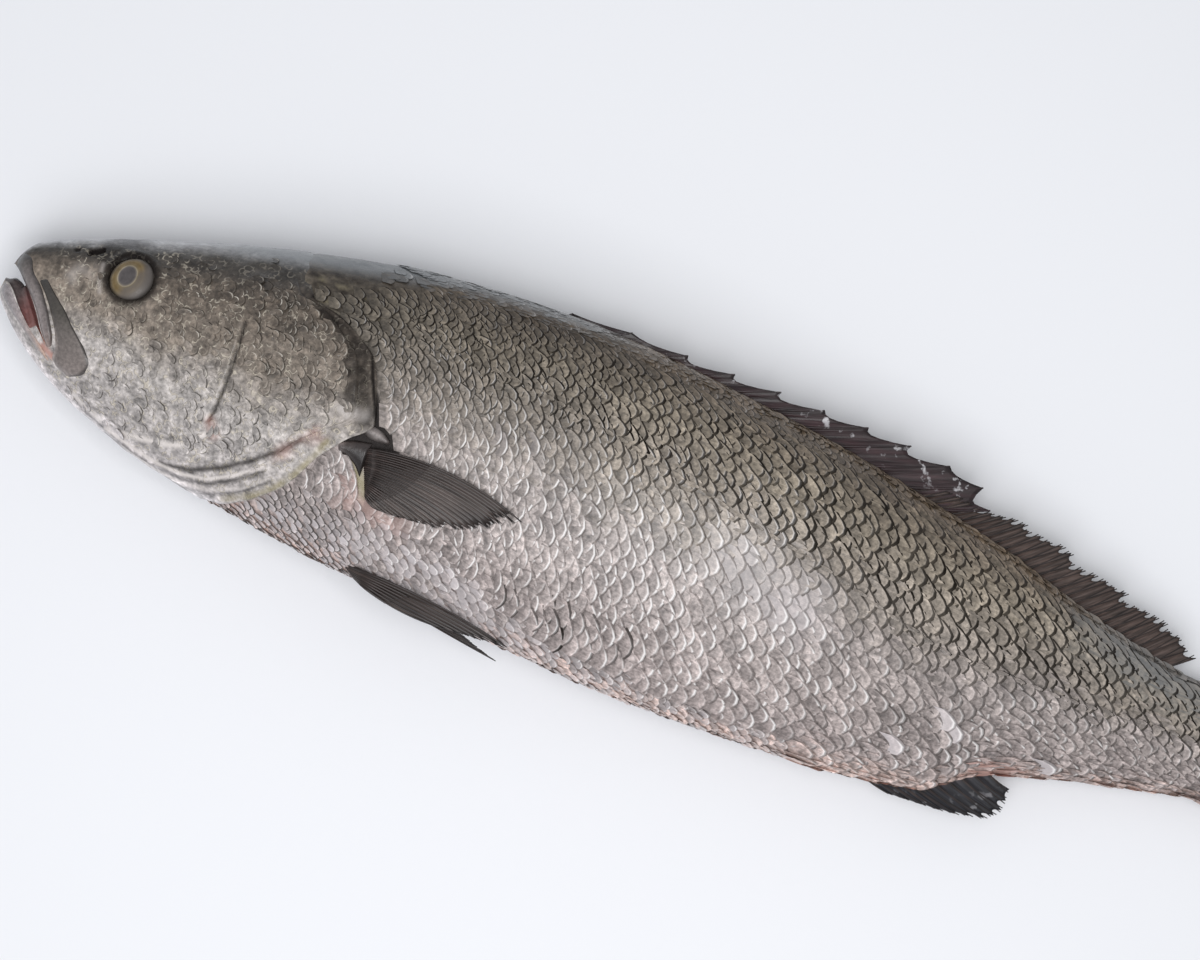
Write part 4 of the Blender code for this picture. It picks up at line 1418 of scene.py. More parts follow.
def grow_flank(lower):
    side = SIDE[lower]
    seed = 21 if lower else 7
    draw = np.random.default_rng(seed)
    s, angle, gap = lattice(scale_pitch, row_spacing, 34, 100, 552, seed, flank_jitter)
    t = skin_point(s, angle)[:, 1]
    kept = s > membrane_edge(angle) - 1.0
    kept &= (covered(s, angle / 180) > 0.35) & (angle / 180 > RIDGE_SCALES_UNTIL)
    behind = s - membrane_edge(angle)
    kept &= draw.random(len(s)) > (0.85 - 0.85 * ease(behind / 34)) * (angle / 180 < 0.33)
    kept &= (angle < 178.5) & ~small_scale_zone(s, angle) & ~inside(AXIL, s, t)
    s, angle, gap = s[kept], angle[kept], gap[kept]
    small = 0.55 + 0.45 * ease((angle / 180 - 0.10) / 0.16) * ease((s - 100) / 60)
    length = 1.42 * scale_pitch(s) * (0.72 + 0.28 * small)
    height = 2.55 * gap * (0.6 + 0.4 * small)
    lift = (0.36 + 0.12 * draw.random(len(s))) * small * (0.66 + 0.34 * ease((s - 190) / 100))
    t = t[kept]
    lift *= 1 - 0.3 * ease((-4 - t) / 14) * ease((s - 340) / 30)
    lift *= 1 + 2.6 * is_raised(s, t) + 1.1 * belly_folds(s, t) * draw.random(len(s))
    size = np.stack([length, height, lift], axis=-1)
    numbers = flank_numbers(s, angle, draw)
    scales = grow_scales(
        f"flank_scales_{side}", skin_tree(trunk), s, angle, lower, numbers, size, scale_finish,
        tilt=6.0, unevenness=0.09, seed=seed, above=0.65,
        loose=0.03 + 0.17 * (1 - ease((s - 180) / 110)),
    )
    hand_over(scales)


for lower in (UPPER_SIDE, LOWER_SIDE):
    grow_flank(lower)

# %% [markdown]
# ## Small scales along the back
# Towards the ridge the scales are about half as big, so they get a finer lattice of their own.
# Over the front of the ridge they lie under thick skin, so they hardly stand up there.

# %% Ridge scales
ridge_pitch = smooth_curve(((100, 3.6), (250, 4.2), (400, 4.8), (560, 3.8)))
ridge_spacing = smooth_curve(((100, 1.9), (250, 2.2), (400, 2.5), (560, 1.9)))


def grow_ridge(lower):
    side = SIDE[lower]
    seed = 53 if lower else 52
    draw = np.random.default_rng(seed)
    s, angle, _ = lattice(ridge_pitch, ridge_spacing, 60, 112, 548, seed, flank_jitter)
    girth = angle / 180
    kept = (s > membrane_edge(angle) + 2.0) & (girth > 0.01)
    kept &= girth < RIDGE_SCALES_UNTIL + 0.015
    kept &= draw.random(len(s)) < ease((s - 128) / 50)
    s, angle, girth = s[kept], angle[kept], girth[kept]
    shows = 0.25 + 0.75 * np.maximum(covered(s, girth), ease((s - 180) / 100))
    size = np.stack([
        ridge_pitch(s) * 1.4, ridge_spacing(s) * 2.5, (0.16 + 0.14 * draw.random(len(s))) * shows,
    ], axis=-1)
    numbers = {
        "girth": girth, "ink": draw.uniform(0.6, 0.95, len(s)) * shows,
        "glint": 0.35 * draw.random(len(s)) ** 3.0, "rose": 0 * s, "slate": slate_ridge(s, girth),
    }
    scales = grow_scales(
        f"ridge_scales_{side}", skin_tree(trunk), s, angle, lower, numbers, size, scale_finish,
        tilt=8.0, unevenness=0.12, seed=seed, above=0.45, loose=0.08,
    )
    hand_over(scales)


for lower in (UPPER_SIDE, LOWER_SIDE):
    grow_ridge(lower)

# %% [markdown]
# ## Small scales of the breast
# Under the breast fin the scales are small glossy diamonds set in dark skin, and behind them the
# belly is finely wrinkled. They are the same tile on a finer lattice, shorter, so that the
# skin shows between them.

# %% Breast scales
breast_pitch = smooth_curve(((90, 4.4), (170, 4.6), (260, 5.2), (300, 4.6), (360, 5.2)))
BREAST_PINK = ((150, -35), (178, -39))
breast_spacing = smooth_curve(((90, 2.2), (170, 2.3), (260, 2.7), (300, 2.5), (360, 2.7)))


def grow_breast(lower):
    side = SIDE[lower]
    seed = 33 if lower else 32
    draw = np.random.default_rng(seed)
    s, angle, _ = lattice(breast_pitch, breast_spacing, 60, 90, SMALL_UNTIL, seed, flank_jitter)
    kept = (s > membrane_edge(angle) - 0.5) & (angle < 179) & small_scale_zone(s, angle)
    s, angle = s[kept], angle[kept]
    t = skin_point(s, angle)[:, 1]
    forward = 1 - ease((s - 150) / 30)
    size = np.stack([
        breast_pitch(s) * (1.12 - 0.14 * forward), breast_spacing(s) * (2.05 - 0.25 * forward),
        0.30 + 0.22 * draw.random(len(s)),
    ], axis=-1)
    # Bright breast scales get painted glints and a paler, painted highlight.
    bright = draw.random(len(s)) ** 1.6
    low = ease((-42 - t) / 8) * (1 - ease((s - 232) / 30))
    numbers = {
        "girth": 0.60 + 0.16 * draw.random(len(s)) + 0.2 * ease((angle - 148) / 12),
        "ink": 0.35 + 0.5 * forward * (t < -40), "glint": 0.25 + 0.7 * bright,
        "rose": 0.3 * near(BREAST_PINK, s, t, 8),
        "pale": 0.3 * bright + low * draw.uniform(0.0, 0.35, len(s)),
    }
    scales = grow_scales(
        f"breast_scales_{side}", skin_tree(trunk), s, angle, lower, numbers, size, scale_finish,
        tilt=16.0, unevenness=0.16, seed=seed, above=0.25,
    )
    hand_over(scales)


for lower in (UPPER_SIDE, LOWER_SIDE):
    grow_breast(lower)

# %% [markdown]
# ## Scales of the head
# The cheek and the gill cover carry scales too, but they are thin, half sunk in the skin and lie
# at all angles, so only curled pale edges of them catch the light, painted on them as glints.
# They are the same tiles, small, turned at random and hardly raised, left off the snout, the jaws
# and round the eye.

# %% Head scales
head_pitch = smooth_curve(((20, 2.5), (95, 2.9), (160, 3.3)))
head_spacing = smooth_curve(((20, 1.6), (95, 1.9), (160, 2.2)))
head_jitter = smooth_curve(((20, 0.22), (160, 0.22)))
MAXILLA_AREA = [
    (-4, 12), (6, 8), (16, 0), (28, -6), (38, -14), (48, -24), (48, -32), (38, -38), (24, -40),
    (-4, -20),
]
GILL_FOLDS = [
    (64, -46), (84, -45), (98, -40), (110, -38), (124, -26), (138, -12), (160, -4), (160, -60),
    (60, -60),
]

# Their pale rims are painted glints.
head_scale_finish = scale_material(
    "Thin head scales", HEAD_TO_THROAT, "#ddd6ca", "#26211c", (("rose", SCALE_ROSE),), hood=0.9,
    variety=0.25, mottle=0.5,
)


def grow_head_scales(lower):
    side = SIDE[lower]
    seed = 43 if lower else 42
    draw = np.random.default_rng(seed)
    s, angle, _ = lattice(head_pitch, head_spacing, 70, 22, 158, seed, head_jitter)
    t = skin_point(s, angle)[:, 1]
    girth = angle / 180
    kept = (s < cover_margin(angle) - 3.5) & (girth > 0.22 - 0.06 * (s > 90)) & (girth < 0.9)
    kept &= s > 30 + 0.9 * np.maximum(t - 2, 0)
    kept &= np.hypot(s - EYE_PLACE[0], t - EYE_PLACE[1]) > 13.5
    kept &= ~inside(MAXILLA_AREA, s, t) & ~inside(GILL_FOLDS, s, t) & ~inside(GILL_BLACK, s, t)
    kept &= distance_to(CHEEK_EDGE, s + 2.2, t) > 2.4
    crown = 1 - ease((girth - 0.27) / 0.06)
    kept &= draw.random(len(s)) < (0.30 + 0.30 * ease((s - 60) / 50)) * (1 - 0.75 * crown)
    s, angle, t, girth = s[kept], angle[kept], t[kept], girth[kept]
    spread = draw.uniform(0.75, 1.2, len(s))
    size = np.stack([
        head_pitch(s) * 1.30 * spread, head_spacing(s) * 2.3 * spread,
        0.05 + 0.15 * draw.random(len(s)),
    ], axis=-1)
    cover = ease((s - 100) / 8) * ease((t + 24) / 12)
    numbers = {
        "girth": girth, "ink": 0.25 + 0.65 * draw.random(len(s)) ** (1 - 0.6 * cover),
        "glint": 0.10 + 0.9 * draw.random(len(s)) ** (1.6 - 0.8 * cover), "rose": 0 * s,
    }
    scales = grow_scales(
        f"head_scales_{side}", skin_tree(head), s, angle, lower, numbers, size,
        head_scale_finish, tilt=45.0, unevenness=0.1, seed=seed, above=0.02, light=head_light,
    )
    hand_over(scales)


for lower in (UPPER_SIDE, LOWER_SIDE):
    grow_head_scales(lower)

# %% [markdown]
# ## Lips and jaw bones
# The upper jaw has two plates on each side. The lip is a soft rounded strip along the edge of
# the mouth. Behind it lies the jaw bone, narrow at the snout and broad as a paddle at
# the corner of the mouth. Each plate is a strip between two edges drawn in the side view, crowned
# across, with its borders sunk in the head.

# %% Plates on the head
PLATE_ROWS = 46
PLATE_COLUMNS = 15
PLATE_BORDER = -0.35
PLATE_ROOT = -1.2


def along_line(line, count):
    """Evenly spaced points on a smooth line through a few points."""
    line = np.array(line, float)
    reach = np.concatenate([[0], np.cumsum(np.linalg.norm(np.diff(line, axis=0), axis=1))])
    at = np.linspace(0, reach[-1], count)
    return np.stack([smooth_curve(list(zip(reach, line[:, i])))(at) for i in (0, 1)], axis=-1)


def head_plate(name, near_edge, far_edge, height, lower, finish, fullness=4.0):
    """A crowned strip between two edges given in the side view; row and column are stored."""
    first, second = along_line(near_edge, PLATE_ROWS), along_line(far_edge, PLATE_ROWS)
    v = np.linspace(-1, 1, PLATE_COLUMNS)
    v = np.sign(v) * np.abs(v) ** 0.7
    share = (v[None, :, None] + 1) / 2
    place = first[:, None, :] * (1 - share) + second[:, None, :] * share
    u = np.linspace(0, 1, PLATE_ROWS)[:, None]
    ends = np.minimum(1, np.minimum(u, 1 - u) * 12) ** 0.5
    lift = height * (1 - np.abs(v) ** fullness)[None, :] * ends + PLATE_BORDER
    top = on_flank(place[..., 0], place[..., 1], lift, lower)
    root = on_flank(place[..., 0], place[..., 1], np.full_like(lift, PLATE_ROOT), lower)
    count = PLATE_ROWS * PLATE_COLUMNS
    points = np.concatenate([top.reshape(-1, 3), root.reshape(-1, 3)])
    faces = grid_faces(PLATE_ROWS, PLATE_COLUMNS)
    faces += [face[::-1] for face in grid_faces(PLATE_ROWS, PLATE_COLUMNS, start=count)]
    c = PLATE_COLUMNS
    rim = list(range(c)) + [c * r - 1 for r in range(2, PLATE_ROWS + 1)]
    rim += list(range(count - 2, count - c - 1, -1)) + [c * r for r in range(PLATE_ROWS - 2, 0, -1)]
    faces += [(a, b, b + count, a + count) for a, b in zip(rim, rim[1:] + rim[:1])]
    plate = new_mesh_object(name, points, faces)
    face_outwards(plate)
    row = np.repeat(np.linspace(0, 1, PLATE_ROWS), PLATE_COLUMNS)
    column = np.tile((v + 1) / 2, PLATE_ROWS)
    store(plate, "row", np.tile(row, 2))
    store(plate, "column", np.tile(column, 2))
    plate.data.materials.append(finish)
    return plate


def lip_material(name, stops, edges):
    """Smooth wet lip skin: a colour along the strip, another scale of tone across it.
    Where that tone darkens a strip's sunk borders it is painted shade, and on the fin root's lobe its
    bright front is a painted sheen.
    """
    made, tree, shader = start_material(name)
    base = ramp(tree, stored(tree, "row"), stops)
    across = ramp(tree, stored(tree, "column"), edges)
    base = mixed(tree, 1.0, base, across, "MULTIPLY")
    grain = object_noise(tree, 1.4, 5.0, 0.65)
    grain = ramp(tree, grain, ((0.3, 0.68), (0.5, 1.0), (0.7, 1.34)))
    base = mixed(tree, 1.0, base, grain, "MULTIPLY")
    tree.links.new(base, shader.inputs["Base Color"])
    wet(shader, 0.36, 0.5)
    bump(tree, shader, object_noise(tree, 1.2), 0.15)
    return made


LIP_FRONT_EDGE = (
    (0.2, -0.9), (2.2, -2.0), (7.4, -6.3), (12.1, -10.4), (16.6, -15.3), (20.6, -21),
    (25.4, -26.8),
)
LIP_REAR_EDGE = (
    (0.8, 5.2), (5.6, 4.2), (9.1, -0.6), (14.5, -4.9), (18.5, -9.5), (22.5, -15.0),
    (26.6, -22.0), (27.6, -25.8),
)
BONE_FRONT_EDGE = (
    (12.5, -3.0), (17.4, -7.6), (21.2, -12.0), (24.7, -17.2), (27.6, -22.6), (28.2, -25.6), (28.4, -29.0),
    (31.5, -32.3),
)
BONE_REAR_EDGE = (
    (15.5, -1.0), (20.5, -5.0), (27.0, -9.6), (33.9, -15.6), (41.2, -21.8), (45.2, -26.8),
    (43.4, -31.0), (37.5, -34.5),
)
RIM_OUTER = (
    (-2.2, -12.0), (1.0, -15.5), (5.5, -18.8), (11.5, -22.6), (18.0, -26.6), (24.5, -30.2),
    (29.0, -32.0),
)
RIM_INNER = (
    (-1.6, -8.6), (1.6, -9.6), (4.5, -12.2), (8.2, -15.8), (12.6, -19.6), (17.6, -23.4),
    (23.0, -26.8),
)

lip_finish = lip_material(
    "Wet lip skin",
    ((0.0, "#4d4b48"), (0.22, "#6e6765"), (0.5, "#7f7775"), (0.8, "#7b7270"), (1.0, "#84746e")),
    ((0.0, 0.62), (0.25, 1.15), (0.55, 1.0), (0.8, 0.55), (1.0, 0.25)),
)
bone_finish = lip_material(
    "Skin over the jaw bone",
    ((0.0, "#3b3835"), (0.35, "#47433e"), (0.58, "#6b6460"), (1.0, "#837975")),
    ((0.0, 1.75), (0.07, 1.5), (0.14, 0.85), (0.5, 1.0), (0.86, 1.05), (0.93, 0.4), (1.0, 0.22)),
)
rim_finish = lip_material(
    "Lower lip skin",
    ((0.0, "#7d7879"), (0.4, "#958c8c"), (0.8, "#a0938e"), (1.0, "#b89a8a")),
    ((0.0, 0.75), (0.25, 1.0), (0.7, 1.1), (1.0, 1.45)),
)
for lower in (UPPER_SIDE, LOWER_SIDE):
    side = SIDE[lower]
    bone = head_plate(f"jaw_bone_{side}", BONE_FRONT_EDGE, BONE_REAR_EDGE, 1.5, lower, bone_finish)
    lip = head_plate(
        f"upper_lip_{side}", LIP_FRONT_EDGE, LIP_REAR_EDGE, 2.0, lower, lip_finish, fullness=2.6,
    )
    rim = head_plate(
        f"lower_lip_{side}", RIM_OUTER, RIM_INNER, 1.3, lower, rim_finish, fullness=3.0,
    )
    for piece in (bone, lip, rim):
        hand_over(piece)

# %% [markdown]
# ## Eyes
# The eye of a dead fish is flat and cloudy: a grey oval pupil in a gold and tan iris, under a clear
# cornea, in a dark ring of skin. Iris, pupil and cornea are one turned shape whose rings carry
# their distance from the middle, and the colour is a ramp over that distance.

# %% Eyes
EYE_RINGS = 26
EYE_SPOKES = 56
EYE_TURN = 0.62 * math.pi
PUPIL_OFFSET = (-0.8, -0.4)


def eye_material():
    made, tree, shader = start_material("Clouded eye")
    far = stored(tree, "from_pupil")
    stops = (
        (0.0, "#4f4b4b"), (0.34, "#534e4e"), (0.39, "#6d665f"), (0.43, "#958a76"), (0.47, "#77684c"),
        (0.60, "#6b5835"), (0.68, "#746344"), (0.78, "#5b5040"), (0.92, "#4d4742"), (1.0, "#2e2a28"),
    )
    base = ramp(tree, far, stops)
    cloud = ramp(tree, object_noise(tree, 3.2, 4.0), ((0.3, 0.72), (0.7, 1.25)))
    base = mixed(tree, 1.0, base, cloud, "MULTIPLY")
    behind = ramp(tree, stored(tree, "rearward_share"), ((0.50, 0.0), (0.68, 0.75)))
    outer = ramp(tree, far, ((0.42, 0.0), (0.5, 1.0)))
    base = mixed(tree, mixed(tree, 1.0, behind, outer, "MULTIPLY"), base, srgb("#5f5955"))
    # Darker towards the eyeball's edge: painted shade where it goes under the socket's rim.
    rim = ramp(tree, stored(tree, "from_middle"), ((0.86, 1.0), (0.94, 0.6), (1.0, 0.35)))
    base = mixed(tree, 1.0, base, rim, "MULTIPLY")
    tree.links.new(base, shader.inputs["Base Color"])
    wet(shader, 0.5, 0.15)
    bump(tree, shader, object_noise(tree, 2.2), 0.08)
    return made


def build_eye(lower, finish):
    centre, along, up, out = eye_axes(lower)
    if lower:
        up = -up
    share = np.linspace(0, 1, EYE_RINGS + 1)[1:, None]
    turn = np.arange(EYE_SPOKES)[None, :] * 2 * math.pi / EYE_SPOKES
    polar = share * EYE_TURN
    radius = EYE_RADIUS * np.sin(polar) * np.ones_like(turn)
    rise = EYE_RADIUS * EYE_FLATNESS * np.cos(polar) * np.ones_like(turn)
    x, y = radius * np.cos(turn), radius * np.sin(turn)
    rows = centre + x[..., None] * along + y[..., None] * up + rise[..., None] * out
    tip = centre + out * EYE_RADIUS * EYE_FLATNESS
    points = np.concatenate([tip[None, :], rows.reshape(-1, 3)])
    faces = grid_faces(EYE_RINGS, EYE_SPOKES, closed=True, start=1)
    faces += [(0, 1 + i, 1 + (i + 1) % EYE_SPOKES) for i in range(EYE_SPOKES)]
    last = 1 + (EYE_RINGS - 1) * EYE_SPOKES
    faces.append([last + i for i in range(EYE_SPOKES)])
    eye = new_mesh_object(f"eyeball_{SIDE[lower]}", points, faces)
    face_outwards(eye)
    px, py = PUPIL_OFFSET
    from_pupil = np.hypot((x - px) * 1.04, (y - py) * 0.88) / EYE_RADIUS
    front = (polar < math.pi / 2) * np.ones_like(turn)
    from_middle = np.where(front > 0, np.hypot(x, y) / EYE_RADIUS, 1.0)
    store(eye, "from_pupil", np.concatenate([[math.hypot(px, py) / EYE_RADIUS], from_pupil.ravel()]))
    store(eye, "from_middle", np.concatenate([[0.0], from_middle.ravel()]))
    rearward_share = 0.5 + 0.5 * (x - 0.5 * y) / EYE_RADIUS
    store(eye, "rearward_share", np.concatenate([[0.5], rearward_share.ravel()]))
    eye.data.materials.append(finish)
    hand_over(eye, "eye_right" if lower else "eye_left")
    return eye


eye_finish = eye_material()
for lower in (UPPER_SIDE, LOWER_SIDE):
    build_eye(lower, eye_finish)

# %% [markdown]
# ## How a fin is built
# A fin is a fan of bony rays with thin wet skin between them. The skin dips between two rays, and
# its edge stays a little behind their tips. A fan is given by three rules over the
# share from its first ray to its last: where the ray starts, where it ends and how far it bows.
# The skin is a grid over the fan, given thickness by Solidify. The rays are lines on the same
# grid that a Geometry Nodes tree turns into tapering rods.

# %% Fins
FIN_STEPS = 16
GAP_COLUMNS = 5
FIN_SKIN = 0.5
FORK_AT = 0.42
FORK_SPREAD = 0.26


def on_fan(fan, across, along, lie):
    """Points of a fan: across is the share from first to last ray, along that up a ray."""
    across, along = np.broadcast_arrays(across, along)
    base, tip, bulge = (rule(across) for rule in fan)
    bow = (4 * along * (1 - along))[..., None]
    points = base + (tip - base) * along[..., None] + bulge * bow
    if lie is not None:
        points[..., 2] = lie(points, along)
    return points


def columns_of(*parts):
    """One array of places from a rule or a number for each of s, t and z."""
    return np.stack(np.broadcast_arrays(*[np.asarray(part, float) for part in parts]), axis=-1)


def ray_tree():
    """Turns lines into rods as thick as their points' stored number, in millimetres."""
    tree, given, end = make_tree("Fin rays", (
        ("Sides", "NodeSocketInt"), ("Finish", "NodeSocketMaterial"),
    ))
    lines = add_node(tree, "GeometryNodeMeshToCurve", {"Mesh": given["Geometry"]})
    thick = add_node(tree, "GeometryNodeInputNamedAttribute", {"Name": "thick"}, data_type="FLOAT")
    links = {"Resolution": given["Sides"], "Radius": MM / 2}
    ring = add_node(tree, "GeometryNodeCurvePrimitiveCircle", links)
    links = {
        "Curve": lines.outputs[0], "Profile Curve": ring.outputs[0],
        "Scale": thick.outputs["Attribute"], "Fill Caps": True,
    }
    rods = add_node(tree, "GeometryNodeCurveToMesh", links)
    smooth = add_node(tree, "GeometryNodeSetShadeSmooth", {"Geometry": rods.outputs[0]})
    real = add_node(tree, "GeometryNodeRealizeInstances", {"Geometry": smooth.outputs[0]})
    links = {"Geometry": real.outputs[0], "Material": given["Finish"]}
    finished = add_node(tree, "GeometryNodeSetMaterial", links)
    tree.links.new(finished.outputs[0], end.inputs[0])
    return tree


RAY_TREE = ray_tree()


def grow_skin(name, fan, reach, lie, notch, pleat, draw, finish):
    """The skin of a fin: it ends a little behind the rays' tips, and dips between them."""
    count = len(reach)
    place = np.append(np.arange((count - 1) * GAP_COLUMNS) / GAP_COLUMNS, count - 1.0)
    left = np.minimum(place.astype(int), count - 2)
    part = place - left
    cut = (notch * draw.uniform(0.4, 1.5, count - 1))[left] * 4 * part * (1 - part)
    length = reach[left] * (1 - part) + reach[left + 1] * part - cut
    along = np.linspace(0, 1, FIN_STEPS + 1)[None, :] * length[:, None]
    across = np.repeat(place[:, None] / (count - 1), FIN_STEPS + 1, axis=1)
    points = on_fan(fan, across, along, lie)
    points[..., 2] += pleat / 2 * np.cos(2 * math.pi * part)[:, None] * ease(along * 4)
    skin = new_mesh_object(name, points.reshape(-1, 3), grid_faces(len(place), FIN_STEPS + 1))
    store(skin, "across", (across * (count - 1)).ravel())
    store(skin, "along", along.ravel())
    skin.data.materials.append(finish)
    solid = skin.modifiers.new("Thickness", "SOLIDIFY")
    solid.thickness = FIN_SKIN * MM
    solid.offset = 0.0
    apply_modifiers(skin)
    return skin


def grow_rays(name, fan, reach, lie, pleat, thick, forked, finish):
    """The rays of a fin: a soft ray forks in two on its way out, a spine stays whole."""
    count = len(reach)
    root, tip = thick
    lines, radii, alongs, acrosses, edges = [], [], [], [], []
    for i, full in enumerate(reach):
        forks = (-FORK_SPREAD, FORK_SPREAD) if forked else (0.0,)
        split = FORK_AT if forked else 0.0
        spans = [(0.0, split, 0.0, 1.0)] if forked else []
        spans += [(split, full, side, 0.75 if forked else 1.0) for side in forks]
        for start, stop, side, share in spans:
            along = np.linspace(start, stop, FIN_STEPS // 2 + 1)
            spread = side * (along - split) / max(full - split, 0.01)
            across = np.clip((i + spread) / (count - 1), 0, 1)
            points = on_fan(fan, across, along, lie)
            points[..., 2] += pleat / 2 * ease(along * 4)
            first = sum(len(line) for line in lines)
            edges += [(first + j, first + j + 1) for j in range(len(along) - 1)]
            lines.append(points)
            radii.append((root + (tip - root) * along) * share)
            alongs.append(along)
            acrosses.append(np.full(len(along), float(i)))
    rays = new_mesh_object(name, np.concatenate(lines), [], edges)
    store(rays, "thick", np.concatenate(radii))
    store(rays, "along", np.concatenate(alongs))
    store(rays, "across", np.concatenate(acrosses))
    modifier = rays.modifiers.new("Rays", "NODES")
    modifier.node_group = RAY_TREE
    set_inputs(modifier, {"Sides": 6, "Finish": finish})
    apply_modifiers(rays)
    return rays


def grow_fin(
    name, fan, count, seed, finishes, *, notch, ragged, pleat, thick, lie=None, reach=None,
    forked=True,
):
    """A fin's skin and its rays, count of them.

    notch and ragged are how far its edge is cut and torn, as shares of a ray. pleat is the depth
    of its folds, and thick is a ray's thickness at its root and its tip, both in millimetres."""
    draw = np.random.default_rng(seed)
    length = 1 - ragged * draw.random(count)
    if reach is not None:
        length = length * reach(np.linspace(0, 1, count))
    skin = grow_skin(f"{name}_skin", fan, length, lie, notch, pleat, draw, finishes[0])
    rays = grow_rays(f"{name}_rays", fan, length, lie, pleat, thick, forked, finishes[1])
    for piece in (skin, rays):
        points = fish_points(piece)
        points[:, 2] = np.maximum(points[:, 2], 0.0)
        set_points(piece, points)
        hand_over(piece)


# %% [markdown]
# ## Fin skin and rays
# Wet fin skin is nearly black and slightly see-through at its rim. Here it is a
# dark film streaked along the rays, with a few painted glints where water stands on it. Along the fins of
# the back the skin is maroon from the blood in it; under the belly it is blue-black.

# %% Fin materials
def fin_material(name, stops, glints=0.0, streaks_per_ray=4.2):
    """Wet film with streaks along the rays; glints is how bright its painted glints of standing water are.
    """
    made, tree, shader = start_material(name)
    along = stored(tree, "along")
    base = ramp(tree, along, stops)
    links = {"X": stored(tree, "across"), "Y": along}
    place = add_node(tree, "ShaderNodeCombineXYZ", links).outputs[0]
    stretched = vector_maths(tree, "MULTIPLY", place, (streaks_per_ray, 2.6, 1.0))
    links = {"Vector": stretched, "Scale": 1.0, "Detail": 4.0}
    streaks = add_node(tree, "ShaderNodeTexNoise", links).outputs["Fac"]
    tone = ramp(tree, streaks, ((0.3, 0.42), (0.5, 0.95), (0.72, 1.9)))
    base = mixed(tree, 1.0, base, tone, "MULTIPLY")
    if glints:
        # Painted glints: pale spots on the outer part of the fin.
        drop_glints = ramp(tree, object_noise(tree, 5.0, 3.0), ((0.60, 0.0), (0.68, 1.0)))
        outer = ramp(tree, along, ((0.35, 0.0), (0.75, glints)))
        amount = mixed(tree, 1.0, drop_glints, outer, "MULTIPLY")
        base = mixed(tree, amount, base, srgb("#cfcdd0"))
    tree.links.new(base, shader.inputs["Base Color"])
    wet(shader, 0.4, 0.22)
    bump(tree, shader, streaks, 0.3)
    return made


maroon_skin = fin_material(
    "Maroon fin skin", ((0.0, "#1d1315"), (0.5, "#301d20"), (0.85, "#271a1c"), (1.0, "#1b1517")), 0.8,
)
brown_skin = fin_material(
    "Brown fin skin", ((0.0, "#2a211f"), (0.4, "#493c37"), (0.8, "#40342f"), (1.0, "#2b2320")),
)
grey_skin = fin_material(
    "Grey fin skin", ((0.0, "#3a3331"), (0.35, "#3d3532"), (0.8, "#433a36"), (1.0, "#332c2a")),
    streaks_per_ray=1.3,
)
blue_skin = fin_material(
    "Blue-black fin skin", ((0.0, "#433638"), (0.3, "#232328"), (1.0, "#1b1b1f")), 0.25,
)
dark_ray = fin_material("Dark fin ray", ((0.0, "#332a27"), (0.5, "#2c2422"), (1.0, "#1d1716")))
spine = fin_material("Fin spine", ((0.0, "#35282a"), (0.5, "#2f2224"), (1.0, "#2b2022")), 0.6)


# %% [markdown]
# ## The fins of the back and of the vent
# The spiny fin is folded down along the back, so only a low ragged strip of it shows. The
# soft fin behind it leans back too, and its rays are matted into a few tufts, each ending in a
# step. The vent fin is a short dark paddle.

# %% Back and vent fins
SPINY_EDGE = ((205, 1.0), (225, 3), (265, 5), (300, 8.5), (325, 11), (352, 15), (391, 17.5), (396, 11))
SOFT_EDGE = ((372, 10), (396, 11.5), (410, 15), (436, 18), (475, 17.5), (486, 15), (496, 9))
spiny_edge, soft_edge = smooth_curve(SPINY_EDGE), smooth_curve(SOFT_EDGE)
spiny_reach = smooth_curve(((203, 9), (240, 26), (350, 40), (367, 29)))
TUFTS = (
    (0, 0.86), (0.3, 1.0), (0.305, 0.86), (0.48, 1.0), (0.485, 0.84), (0.71, 1.0),
    (0.715, 0.82), (0.87, 1.0), (0.875, 0.9), (1, 1.0),
)
BACK_FIN_ROOT = 5.0


def back_fan(first, last, reach, edge):
    """A fan of rays standing on the back, leaning rearwards by reach, up to the edge height."""
    def start(across):
        s = first + (last - first) * across
        return columns_of(s, back(s) - BACK_FIN_ROOT, middle(s))

    def end(across):
        s = first + (last - first) * across
        lean = s + reach(s)
        return columns_of(lean, back(lean) + edge(lean), middle(lean))

    def bow(across):
        return columns_of(0 * across, -0.5, 0.0)

    return start, end, bow


def tufted(across):
    place, length = np.array(TUFTS).T
    return np.interp(across, place, length)


spiny_fan = back_fan(203, 367, spiny_reach, spiny_edge)
grow_fin(
    "spiny_back_fin", spiny_fan, 11, 5, (maroon_skin, spine), notch=0.16, ragged=0.03, pleat=0.9,
    thick=(2.0, 0.7), forked=False,
)
soft_fan = back_fan(356, 480, lambda s: 20 - 4 * ease((s - 440) / 40), soft_edge)
grow_fin(
    "soft_back_fin", soft_fan, 29, 6, (brown_skin, dark_ray), notch=0.10, ragged=0.05, reach=tufted,
    pleat=0.9, thick=(1.3, 0.5),
)

vent_edge_s = smooth_curve(((0, 401), (0.3, 422), (0.6, 440), (0.8, 446), (1, 445)))
vent_edge_t = smooth_curve(((0, -66.8), (0.3, -65.2), (0.6, -61.5), (0.8, -56), (1, -47)))


def vent_start(across):
    s = 381 + 49 * across
    return columns_of(s, belly(s) + 4.5, middle(s))


def vent_end(across):
    return columns_of(vent_edge_s(across), vent_edge_t(across), float(middle(440)))


def vent_bow(across):
    return columns_of(0 * across, -0.8, 0.0)


grow_fin(
    "vent_fin", (vent_start, vent_end, vent_bow), 11, 7, (blue_skin, dark_ray), notch=0.09,
    ragged=0.04, pleat=0.7, thick=(1.5, 0.5),
)

